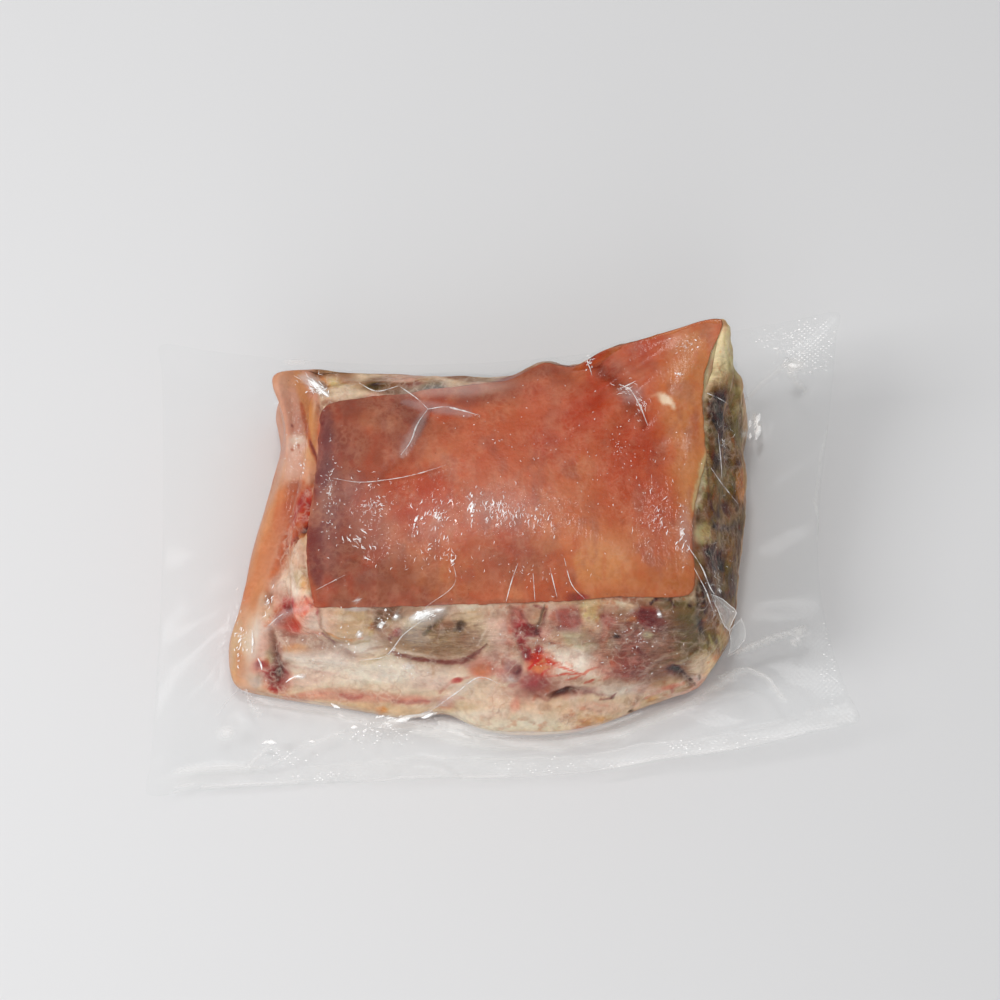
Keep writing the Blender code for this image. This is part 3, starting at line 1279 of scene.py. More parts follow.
@dataclass
class MeatBlock:
    """Both slabs of meat pressed into one block, its top hidden under the rind sheet.

    The crown key is the number of the crown among the block's key rings.
    """

    form: PackForm
    viewpoint: Viewpoint
    effects: SharedEffects
    side_columns: tuple[int, ...] = (350, 150, 80, 120)
    fine_gap: float = 0.62
    inset: float = 1.5
    foot_inset: float = 0.8
    under_rind: float = 3.2
    crown_key: int = 10

    def build(self) -> bpy.types.Object:
        """Make the block and return it."""
        form = self.form
        keys = [form.underside(share) for share in (0.08, 0.5, 0.985)]
        for ring in keys:
            ring[:, 2] += 0.5
        keys.append(form.grown(form.foot.ring(), -1.0, -5.0))
        keys += form.lower_side() + form.upper_side()[1:] + [form.top(0.93)]
        keys += [form.top(share) for share in (0.6, 0.25, 0.06)]
        gaps = [8.0, 8.0, 3.0, 1.2] + [self.fine_gap] * 7 + [6.0, 8.0, 8.0]
        sheet = form.sheet(keys, gaps, self.side_columns)
        points, normals = sheet.points(), sheet.normals().reshape(-1, 3)
        painter = Painter(sheet, self.viewpoint, wander=1.2)
        rind = self._turned_rind(sheet)
        colour, lean = self._base_colour(points, rind)
        colour = painter.paint(colour, FACE_TINTS + FACE_WASHES + SIDE_TINTS + TURNED_RIND_TINTS)
        lean = np.maximum(lean * (1.0 - painter.seen), painter.cover(LEAN_AREAS)) * (1.0 - rind)
        calm = 0.3 + 0.5 * smooth_step(520.0, 470.0, painter.places[:, 0])
        colour = self._patched(points, colour, (1.0 - rind) * (1.0 - calm * painter.seen))
        # Raised contrast, and painted shade on the right side face.
        colour = self._deepened_and_side_shaded(painter, colour, 1.0 - rind)
        height = self._height(points, rind, painter)
        hollow = height - sheet.blurred(height, 24)
        above = sheet.levels - sheet.marks[self.crown_key]
        near = np.repeat(smooth_step(0.0, 4.0, above), len(sheet.turns))
        height += near * (np.minimum(height, -1.6) - height)
        height -= np.repeat(self.under_rind * smooth_step(5.0, 9.0, above), len(sheet.turns))
        # Painted shade in hollows and deep places, painted light on ridges.
        colour = shaded_by_relief(colour, height, hollow)
        sheet.rows = (points + normals * height[:, None]).reshape(sheet.rows.shape)
        sheet.rows[:, :, 2] = np.maximum(sheet.rows[:, :, 2], 0.35)
        wet = np.clip(0.4 + 0.6 * Grain(12).value(points, 8.0), 0.0, 1.0)
        colour = under_film(colour, painter.facing)
        piece = tissue_piece("meat_block", sheet, colour, (rind, lean, wet))
        piece.data.materials.append(TissueFinish("cut_meat").material(self.effects))
        return piece

    def _height(self, points: np.ndarray, rind: np.ndarray, painter: Painter) -> np.ndarray:
        """Return how far the meat's surface lies outside the bag's form at each point.

        Args:
            points: places in millimetres.
            rind: share of rind at each point.
            painter: painter over the same points.

        Returns:
            Heights in millimetres, all of them inside the bag.
        """
        cut = 1.0 - rind
        grain = Grain(11)
        upper = smooth_step(9.0, 20.0, points[:, 2])
        height = -0.45 * rind - (self.foot_inset + (self.inset - self.foot_inset) * upper) * cut
        height += rind * (0.2 * grain.layered(points, 22.0) + 0.1 * grain.value(points, 4.0) - 0.1)
        drawn = points * np.array((0.5, 1.0, 1.0))
        folds = 1.0 - 2.2 * np.abs(Grain(14).layered(drawn, 6.0, 3))
        crumbs = np.abs(Grain(15).layered(points, 3.2, 2))
        rough = 0.5 * grain.layered(points, 11.0, 3) + 0.42 * np.maximum(folds, -0.6) - 0.3 * crumbs
        height += cut * (0.3 + 0.35 * upper + 0.35 * (1.0 - painter.seen)) * rough
        height += painter.height(FACE_RELIEF)
        return np.minimum(height, -0.4) + painter.height(PIT_AREAS)

    @staticmethod
    def _deepened_and_side_shaded(painter: Painter, colour: np.ndarray, cut: np.ndarray) -> np.ndarray:
        """Return the colour with raised contrast on the seen cut faces, and darker there, most on
        the right side face as painted shade.

        Args:
            painter: painter over the points.
            colour: display colour at each point.
            cut: share of cut face at each point.

        Returns:
            The display colour, its contrast raised where it is seen.
        """
        side = smooth_step(700.0, 712.0, painter.places[:, 0])[:, None]
        middle = np.array((0.68, 0.545, 0.46)) * (1.0 - side) + np.array((0.5, 0.44, 0.35)) * side
        # drop darkens the seen cut faces a little and the right side face more, as painted shade of
        # the face turned from the key light.
        drop = np.array((0.02, 0.04, 0.04)) * (1.0 - side) + np.array((0.05, 0.065, 0.13)) * side
        share = (painter.seen * cut)[:, None]
        return colour + share * ((colour - middle) * (0.34 + 0.2 * side) - drop)

    @staticmethod
    def _patched(points: np.ndarray, colour: np.ndarray, cut: np.ndarray) -> np.ndarray:
        """Return the colour with small patches of other tissue in the cut faces.

        Args:
            points: places in millimetres.
            colour: display colour at each point.
            cut: share of cut face at each point.

        Returns:
            The patched display colour.
        """
        drawn = points * np.array((0.45, 1.0, 1.0))
        patches = (
            (Tint.ROSE_MUSCLE, 71, drawn, 6.0, 0.1, 0.3),
            (Tint.TAN_FAT, 74, drawn, 8.0, 0.0, 0.3),
            (Tint.WHITE_FAT, 77, points, 5.0, 0.05, 0.35),
            (Tint.BROWN_LEAN, 80, drawn, 4.0, 0.25, 0.4),
            (Tint.RUST_RIND, 83, points, 2.6, 0.4, 0.35),
        )
        for tint, seed, places, size, least, most in patches:
            share = smooth_step(least, least + 0.5, Grain(seed).layered(places, size, 3)) * cut
            colour = mixed(colour, tint, most * share)
        return colour

    @staticmethod
    def _turned_rind(sheet: RingSheet) -> np.ndarray:
        """Return 1 where the block shows rind: its underside and its turned-up left end."""
        points = sheet.points()
        ragged = 2.2 * Grain(23).value(points, 9.0)
        under = smooth_step(4.0, 1.5, points[:, 2] + 0.4 * ragged)
        edge = np.interp(
            points[:, 1],
            (-80.0, -60.0, -40.0, -20.0, -8.0, 4.0, 14.0, 40.0, 60.0, 80.0),
            (-103.0, -102.0, -101.0, -97.0, -93.0, -86.0, -78.0, -76.0, -80.0, -80.0),
        )
        left = smooth_step(1.2, -1.2, points[:, 0] - edge + 0.5 * ragged)
        return np.maximum(under, left)

    @staticmethod
    def _base_colour(points: np.ndarray, rind: np.ndarray) -> tuple[np.ndarray, np.ndarray]:
        """Return the tissue colour that shows where nothing is painted, and the lean's share.

        Args:
            points: places in millimetres.
            rind: share of rind at each point.

        Returns:
            Display colours, and the share of lean at each point.
        """
        grain = Grain(31)
        streaky = points * np.array((0.45, 1.0, 1.6))
        lean = smooth_step(0.05, 0.3, grain.layered(streaky, 20.0, 3))
        pink = smooth_step(0.0, 0.6, Grain(35).layered(points, 16.0))
        fat = between_tints(Tint.CREAM_FAT, Tint.PINK_FAT, pink)
        brown = smooth_step(-0.2, 0.4, Grain(38).value(points, 24.0))
        muscle = between_tints(Tint.GREY_LEAN, Tint.BROWN_LEAN, brown)
        cut = fat * (1.0 - lean[:, None]) + muscle * lean[:, None]
        warm = smooth_step(-0.5, 0.7, Grain(41).layered(points, 34.0))
        skin = with_patches(between_tints(Tint.ROSY_RIND, Tint.GLOW_RIND, warm), points)
        return skin * rind[:, None] + cut * (1.0 - rind[:, None]), lean


@dataclass
class RindSheet:
    """The rind over the upper slab: a sheet that ends at the block's upper edge.

    The keys are the numbers of its edge and of the crown among its key rings, and tuck is how
    far its edge is drawn inwards and down.
    """

    form: PackForm
    viewpoint: Viewpoint
    effects: SharedEffects
    side_columns: tuple[int, ...] = (300, 130, 100, 110)
    fine_gap: float = 0.78
    inset: float = 0.45
    thickness: float = 5.0
    tuck: tuple[float, float] = (4.5, 1.5)
    edge_key: int = 4
    crown_key: int = 6

    def build(self) -> bpy.types.Object:
        """Make the sheet and return it."""
        form = self.form
        seam, crown = form.seam.ring(), form.crown.ring()
        over = form.upper_side()[1]
        edge = form.grown(0.75 * crown + 0.25 * over, -3.5, -2.0)
        under = [form.top(share) for share in (0.06, 0.5, 0.85)]
        under.append(form.grown(0.8 * crown + 0.2 * seam, -9.0))
        for ring in under:
            ring[:, 2] -= self.thickness
        lip = 0.86 * crown + 0.14 * over
        keys = under + [edge, lip, crown] + form.top_rings()
        gaps = [7.0, 7.0, 3.0, 1.2] + [self.fine_gap * 0.7] * 2 + [self.fine_gap] * 7
        sheet = form.sheet(keys, gaps, self.side_columns, firm=True)
        points, normals = sheet.points(), sheet.normals().reshape(-1, 3)
        inside = self._inside(sheet)
        painter = Painter(sheet, self.viewpoint)
        warm = smooth_step(-0.5, 0.7, Grain(41).layered(points, 34.0))
        colour = between_tints(Tint.CORAL_RIND, Tint.SALMON_RIND, warm)
        colour = painter.paint(colour, RIND_TINTS)
        turns = np.tile(sheet.turns, len(sheet.levels))
        rim = smooth_step(1.5, 0.2, inside)[:, None] * 0.5
        bright = smooth_step(0.9, 1.1, turns) * smooth_step(2.3, 2.1, turns)
        edge_tint = between_tints(Tint.BROWN_RIND, Tint.ORANGE_RIND, bright)
        colour = colour * (1.0 - rim) + edge_tint * rim
        cut = smooth_step(0.3, -0.3, inside) * smooth_step(1.3, 1.5, turns)
        cut = cut * smooth_step(2.02, 1.9, turns)
        colour = mixed(colour, Tint.SIDE_FAT, cut) * np.array((0.98, 0.96, 0.91))
        colour = with_patches(colour, points * np.array((1.0, 0.6, 1.0)))
        last_under, edge_level = sheet.marks[self.edge_key - 1 : self.edge_key + 1]
        upper = np.repeat(smooth_step(last_under, edge_level, sheet.levels), len(sheet.turns))
        grain = Grain(13)
        relief = 0.26 * grain.layered(points, 24.0) + 0.07 * grain.value(points, 3.5) - 0.25
        relief += painter.height(RIND_RELIEF)
        flat = np.zeros(len(points))
        # Painted shade in the rind's hollows, painted light on its ridges.
        colour = shaded_by_relief(colour, flat, relief - sheet.blurred(relief, 24))
        height = np.minimum(relief - self.inset, -0.35) * upper
        tucked = (upper * smooth_step(0.8, -2.0, inside))[:, None]
        inward = np.concatenate([-form.outward(row) for row in sheet.rows])
        inward = inward * self.tuck[0] - np.array((0.0, 0.0, self.tuck[1]))
        moved = points + normals * height[:, None] + inward * tucked
        sheet.rows = moved.reshape(sheet.rows.shape)
        wet = np.clip(0.4 + 0.6 * grain.value(points, 8.0), 0.0, 1.0)
        whole = np.ones(len(points))
        colour = under_film(colour, painter.facing)
        piece = tissue_piece("rind_sheet", sheet, colour, (whole, 0.0 * whole, wet))
        piece.data.materials.append(TissueFinish("moist_rind").material(self.effects))
        return piece

    def _inside(self, sheet: RingSheet) -> np.ndarray:
        """Return each point's distance inside the rind's edge, in millimetres."""
        points = sheet.points()
        line = np.interp(sheet.turns, *zip(*RIND_EDGE))
        above = sheet.levels - sheet.marks[self.crown_key]
        ragged = 0.55 * Grain(21).value(points, 6.0) + 0.3 * Grain(22).value(points, 1.8)
        return (above[:, None] - line[None] + 0.6).ravel() + ragged


def shaded_by_relief(colour: np.ndarray, height: np.ndarray, hollow: np.ndarray) -> np.ndarray:
    """Paint shade into hollows and deep places, redder in hollows, and paint light onto ridges.

    Args:
        colour: display colour at each point.
        height: height of the surface at each point, in millimetres.
        hollow: height above the surroundings at each point, in millimetres.

    Returns:
        The shaded display colour.
    """
    deep = smooth_step(-3.4, -7.0, height)[:, None]
    low = smooth_step(-0.05, -0.9, hollow)[:, None]
    ridge = smooth_step(0.05, 0.7, hollow)[:, None]
    colour = colour * (1.0 - 0.38 * deep) * (1.0 - low * np.array((0.2, 0.28, 0.3)))
    return np.clip(colour + (1.0 - colour) * ridge * 0.16, 0.0, 1.0)


# How far above the crown the rind's edge runs: turns round the pack and millimetres.
RIND_EDGE = (
    (0.0, 0.2), (0.12, 0.0), (0.6, 1.2), (0.8, 2.6), (1.0, 1.6), (1.08, 1.6), (1.15, 2.6),
    (1.28, 2.2), (1.38, 0.4), (1.55, 0.0), (1.63, 1.7), (1.7, 3.4), (1.77, 4.6), (1.83, 5.2),
    (1.9, 4.3), (1.97, 1.2), (2.0, 0.0), (2.5, 0.2), (2.64, 3.4), (2.75, 1.6), (2.88, 0.3),
    (3.0, 1.0), (3.3, 2.6), (3.5, 2.4), (3.7, 0.4), (3.85, 0.0), (4.0, 0.2),
)

# Tint, seed, size in millimetres and largest share of each kind of patch in the rind.
RIND_PATCHES = (
    (Tint.RED_RIND, 91, 13.0, 0.3),
    (Tint.PALE_RIND, 94, 11.0, 0.26),
    (Tint.MAUVE_RIND, 97, 7.0, 0.28),
    (Tint.PINK_RIND, 100, 4.0, 0.16),
    (Tint.RED_RIND, 103, 2.6, 0.14),
    (Tint.BROWN_RIND, 106, 1.7, 0.08),
)

RIND_TINTS = painted(
    # The mauve dab at (603, 368) is painted shadow in the fold at the back right.
    (Tint.MAUVE_RIND, (540, 370, 40, 7, 60, 10, 70), (603, 368, 28, 9, 75, -38, 70),
     (500, 392, 70, 12, 30, 6, 90), (408, 592, 20, 12, 50, 0, 80)),
    (Tint.ORANGE_RIND, (688, 450, 26, 130, 70, 0, 70), (610, 545, 90, 56, 55, 0, 70),
     (566, 448, 30, 60, 50, 65, 90)),
    (Tint.RED_RIND, (462, 440, 30, 30, 40, 0, 90), (596, 398, 22, 16, 75, 0, 80),
     (560, 424, 46, 13, 60, 38, 80), (610, 430, 20, 40, 45, 0, 90), (662, 345, 44, 16, 40, 16, 80),
     (575, 415, 24, 18, 40, 0, 90)),
    (Tint.DUSKY_RIND, (440, 424, 20, 12, 30, 0, 90), (637, 410, 10, 24, 40, 20, 80),
     ((5, 60), 318, 601, 380, 603, 440, 602)),
    (Tint.BROWN_RIND, (375, 430, 64, 52, 65, 0, 70), (420, 584, 50, 18, 50, 0, 80)),
    (Tint.PALE_RIND, (612, 556, 44, 24, 60, 0, 80), (590, 556, 26, 16, 35, 0, 80)),
    (Tint.RED_RIND, (418, 500, 46, 42, 55, 0, 80), (614, 480, 18, 50, 35, 0, 90),
     (655, 520, 12, 40, 30, 0, 90), (642, 444, 16, 26, 50, 0, 80)),
    (Tint.MAUVE_RIND, (545, 568, 12, 30, 35, 0, 80), (402, 418, 24, 30, 50, 0, 80)),
    # The purple dab at (592, 360) is painted shadow in the same fold.
    (Tint.PURPLE_RIND, (407, 408, 12, 12, 35, 0, 80), (592, 360, 10, 6, 40, -30, 80)),
    # The mauve dab at (606, 360) is painted shadow in the same fold.
    (Tint.MAUVE_RIND, (460, 395, 60, 8, 80, 4, 70), (606, 360, 20, 9, 60, -30, 80),
     (380, 424, 30, 34, 45, 0, 80)),
    (Tint.RUST_RIND, (574, 476, 7, 4, 50, 0, 90), (558, 528, 6, 6, 50, 0, 90)),
    (Tint.DEEP_ORANGE, (678, 588, 26, 10, 50, 0, 80), (618, 598, 64, 6, 50, 0, 80)),
    (Tint.BROWN_RIND, (362, 560, 60, 46, 85, 0, 60), (505, 382, 34, 7, 50, 20, 70)),
    (Tint.PINK_RIND, (688, 340, 18, 8, 35, 16, 90), (458, 389, 44, 6, 40, 4, 80)),
    # Paler patches on the rind's middle: painted highlight of the film's sheen.
    (Tint.GLOW_RIND, (500, 470, 50, 50, 45, 0, 90), (440, 535, 30, 24, 40, 0, 90)),
    (Tint.RED_RIND, (500, 440, 30, 16, 30, 40, 90), (545, 440, 24, 30, 35, 60, 90),
     (640, 348, 30, 10, 35, 15, 90)),
    (Tint.PALE_RIND, (624, 556, 56, 26, 35, 0, 90), (522, 594, 24, 9, 35, 0, 90)),
    (Tint.DEEP_ORANGE, (692, 448, 14, 92, 55, 0, 80), (662, 578, 24, 14, 50, 0, 90)),
    (Tint.AMBER_RIND, (452, 575, 26, 16, 40, 0, 90), (684, 384, 22, 52, 60, 0, 90),
     (704, 350, 12, 34, 50, 14, 90), (690, 470, 12, 44, 40, 0, 90), (600, 575, 80, 18, 30, 0, 90)),
    (Tint.DUSKY_RIND, (352, 566, 38, 34, 70, 0, 70), (500, 560, 44, 22, 30, 0, 90)),
    (Tint.PURPLE_RIND, (337, 478, 16, 70, 55, 0, 80),
     ((11, 90), 323, 412, 323, 460, 321, 500, 314, 540, 316, 580), (330, 566, 14, 14, 50, -30, 80)),
    # Painted highlight of the film's sheen on the rind's front slope.
    (Tint.GLOW_RIND, (496, 506, 64, 30, 75, 0, 90), (460, 440, 30, 30, 35, 0, 90)),
    (Tint.RED_RIND, (636, 466, 18, 62, 50, 0, 90), (662, 516, 14, 34, 40, 0, 90),
     (430, 486, 16, 10, 40, 20, 80)),
    (Tint.CORAL_RIND, (650, 556, 18, 22, 40, 0, 80), (470, 470, 40, 50, 35, 0, 90)),
    (Tint.BROWN_RIND, (425, 588, 40, 12, 40, 0, 90), (340, 560, 16, 20, 40, 0, 80)),
    (Tint.CLEAN_WHITE, (664, 400, 8, 5, 90, -28, 40), (672, 405, 5, 3, 80, -60, 40)),
    (Tint.PALE_RIND, (688, 480, 9, 30, 50, 0, 80), (452, 575, 20, 18, 30, 60, 90)),
    (Tint.MAUVE_RIND, (352, 404, 30, 9, 60, 8, 70), (516, 556, 34, 26, 30, 0, 90)),
    (Tint.BRUISED, (360, 470, 40, 60, 40, 0, 90), (350, 575, 46, 30, 45, 0, 90)),
    (Tint.RUST_RIND, (698, 426, 7, 14, 60, 0, 80)),
    (Tint.MAROON, (577, 598, 11, 6, 80, 0, 50)),
    (Tint.PINK_RIND, (655, 396, 6, 2, 50, 20, 70)),
    (Tint.BROWN_RIND, ((3.5, 50), 440, 601, 520, 603, 560, 602)),
    # Pale rind on the left: painted veil of the film's sheen.
    (Tint.GLOW_RIND, (372, 512, 24, 40, 35, 30, 90)),
    (Tint.RED_RIND, (402, 502, 18, 26, 45, 40, 80), (388, 545, 40, 7, 40, 38, 80)),
    (Tint.PURPLE_RIND, (324, 470, 7, 40, 30, 4, 80)),
    (Tint.AMBER_RIND, ((7, 60), 706, 400, 706, 450, 698, 480, 690, 506)),
    (Tint.CRIMSON, (583, 596, 6, 3, 50, 0, 50)),
    (Tint.MAUVE_RIND, (352, 500, 30, 60, 35, 0, 80)),
    (Tint.PURPLE_RIND, (331, 506, 13, 46, 30, 0, 80), (354, 484, 12, 14, 25, 0, 80)),
    (Tint.SIDE_FAT, ((3.6, 85), 708, 436, 707, 452, 704, 468, 701, 482, 696, 497, 693, 508)),
)

TURNED_RIND_TINTS = painted(
    (Tint.ROSY_RIND, (290, 402, 26, 44, 95, 0, 15), (296, 462, 22, 44, 95, 0, 15)),
    (Tint.TAN_RIND, (288, 378, 16, 10, 70)),
    (Tint.AMBER_RIND, ((5.5, 70), 297, 372, 304, 398, 309, 422, 312, 450),
     (309, 424, 6, 22, 60, -8)),
    (Tint.ORANGE_RIND, (284, 530, 30, 56, 90, -22, 15)),
    (Tint.PINK_MUSCLE, (295, 424, 8, 11, 60)),
    (Tint.ROSY_RIND, (281, 396, 8, 16, 60), (286, 416, 8, 10, 70)),
    (Tint.RUST_RIND, (298, 508, 13, 15, 85, -20)),
    (Tint.PINK_FAT, (296, 446, 11, 12, 95)),
    (Tint.RUST_RIND, (292, 449, 1.4, 1.4, 80), (299, 451, 1.2, 1.2, 60)),
    (Tint.PINK_RIND, (281, 385, 7, 10, 35)),
    (Tint.MAROON, (292, 425, 1.3, 1.3, 70)),
    (Tint.RED_RIND, (296, 516, 9, 6, 55, 30)),
    (Tint.WHITE_FAT, (297, 440, 7, 5, 70)),
    (Tint.ORANGE_FAT, (307, 458, 6, 10, 60)),
    (Tint.CORAL_RIND, (284, 520, 12, 18, 45, -20)),
    (Tint.RUST_RIND, (298, 446, 1.4, 1.4, 70)),
    (Tint.ORANGE_RIND, (308, 468, 7, 9, 50)),
    (Tint.TAN_RIND, (268, 512, 6, 26, 55, -14)),
    # Painted shadow along the turned rind's fold, maroon here and near-black below.
    (Tint.MAROON, ((3.2, 75), 286, 546, 294, 534, 302, 526, 311, 517)),
    (Tint.PINK_RIND, (297, 466, 12, 15, 55)),
    (Tint.RUST_RIND, ((2.2, 70), 301, 404, 306, 428, 310, 446, 315, 462),
     (298, 489, 12, 9, 80, -6)),
    # Painted shadow line along the turned rind's fold.
    (Tint.PIT_SHADE, ((1.5, 70), 292, 537, 301, 528, 309, 520)),
    (Tint.TAN_RIND, (277, 476, 7, 16, 60, -14)),
    (Tint.MAROON, ((1.4, 70), 309, 440, 313, 452, 317, 464)),
    (Tint.BROWN_RIND, (293, 485, 7, 5, 40)),
    (Tint.RED_RIND, (302, 498, 8, 8, 50)),
    (Tint.RUST_RIND, ((4, 55), 280, 552, 288, 540, 294, 528), (297, 500, 10, 12, 40, 0, 70)),
    (Tint.PINK_FAT, (287, 470, 9, 14, 45, 0, 70)),
    (Tint.ORANGE_RIND, (262, 566, 18, 36, 80, -18, 20)),
    (Tint.TAN_RIND, (251, 560, 5, 34, 55, -14)),
    (Tint.CREAM_FAT, (296, 560, 14, 30, 95, -20, 20)),
    (Tint.PALE_RIND, (264, 520, 5, 26, 60, -14, 60)),
    (Tint.WHITE_FAT, (282, 585, 15, 22, 90, -32, 20)),
    (Tint.TAN_FAT, (299, 545, 7, 12, 50, -10)),
    (Tint.GREY_FAT, (290, 566, 12, 14, 50, -30)),
    (Tint.ORANGE_RIND, (250, 604, 14, 30, 75, -18, 20)),
    (Tint.ORANGE_FAT, ((2, 70), 290, 540, 296, 534, 304, 531)),
    (Tint.RUST_RIND, (281, 544, 11, 24, 40, -20, 80), (295, 518, 10, 12, 65, -20, 70)),
    (Tint.SHADED_FAT, (298, 577, 7, 12, 75, -10)),
    (Tint.SPLIT_SKIN, (244, 648, 16, 40, 80, -4, 30)),
    (Tint.PINK_FAT, (262, 634, 9, 16, 85, -4), (300, 556, 9, 12, 50, 0, 80)),
    (Tint.ORANGE_FAT, (303, 582, 5, 8, 50)),
    (Tint.WHITE_FAT, (289, 594, 10, 9, 60)),
    (Tint.TAN_RIND, (238, 624, 6, 20, 60, -18)),
    (Tint.AMBER_RIND, (256, 596, 6, 18, 50, -18)),
    (Tint.PINK_FAT, (299, 603, 7, 8, 60)),
    (Tint.TAN_FAT, (236, 640, 4, 18, 60, -8)),
    (Tint.CREAM_FAT, (266, 606, 8, 14, 85, -30)),
    (Tint.BLOOD_WASH, (306, 604, 9, 7, 55, 0, 70)),
    (Tint.AMBER_RIND, (238, 664, 8, 18, 70)),
    (Tint.GREY_FAT, (264, 598, 6, 8, 60, -30)),
    (Tint.WHITE_FAT, (256, 628, 4, 14, 60, -6)),
    (Tint.ORANGE_RIND, ((1.8, 75), 264, 625, 272, 614, 284, 600)),
    (Tint.TAN_RIND, (243, 676, 9, 12, 50)),
    (Tint.ORANGE_FAT, (233, 668, 3, 6, 60)),
    (Tint.CREAM_FAT, (246, 644, 5, 14, 50, -4)),
    (Tint.TAUPE, (267, 600, 4, 6, 50, -30)),
    (Tint.PINK_FAT, (258, 650, 8, 14, 80)),
    (Tint.BRUISED, (281, 617, 9, 12, 60, 20, 70)),
    # Grey-white at (255, 680): painted sheen of the film.
    (Tint.GREY_FAT, (255, 680, 8, 9, 70)),
    (Tint.ORANGE_RIND, (240, 664, 8, 10, 35, 0, 70)),
    (Tint.ROSY_RIND, (270, 566, 13, 46, 45, -20, 80)),
    (Tint.OLIVE_LEAN, (271, 657, 4, 8, 35)),
    (Tint.PINK_MUSCLE, (279, 600, 9, 13, 60, 20, 70)),
    (Tint.TAUPE, (280, 592, 6, 8, 40, 20, 70), (272, 640, 9, 16, 55, 0, 70)),
    # Painted glint of the film.
    (Tint.BLUE_WHITE, (255, 684, 6, 5, 50)),
    (Tint.BLOOD_WASH, (257, 668, 7, 7, 70)),
    (Tint.CRIMSON, (259, 667, 5, 4), (286, 604, 5, 7, 50, 20, 70)),
    (Tint.TAN_FAT, (232, 650, 4, 26, 60, 0, 60)),
    (Tint.BRUISED, (277, 652, 5, 14, 50, -8, 70)),
    (Tint.RUST_RIND, (265, 665, 3, 4, 60)),
    # Painted vertical glint of the film.
    (Tint.MILKY_FAT, (252, 640, 6, 22, 50, -6, 70)),
    (Tint.MAROON, (287, 608, 3, 4, 60, 20, 70)),
    (Tint.CRIMSON, (267, 674, 6, 7, 50, 0, 70)),
    (Tint.MAROON, (279, 677, 9, 12, 60, 0, 70)),
    (Tint.PINK_FAT, (249, 676, 11, 20, 45, 0, 80)),
    (Tint.BRUISED, (280, 688, 9, 7, 50, 0, 70)),
    # Painted shade in the pit of the maroon patch.
    (Tint.PIT_SHADE, (280, 672, 3, 7, 40, 0, 70)),
)
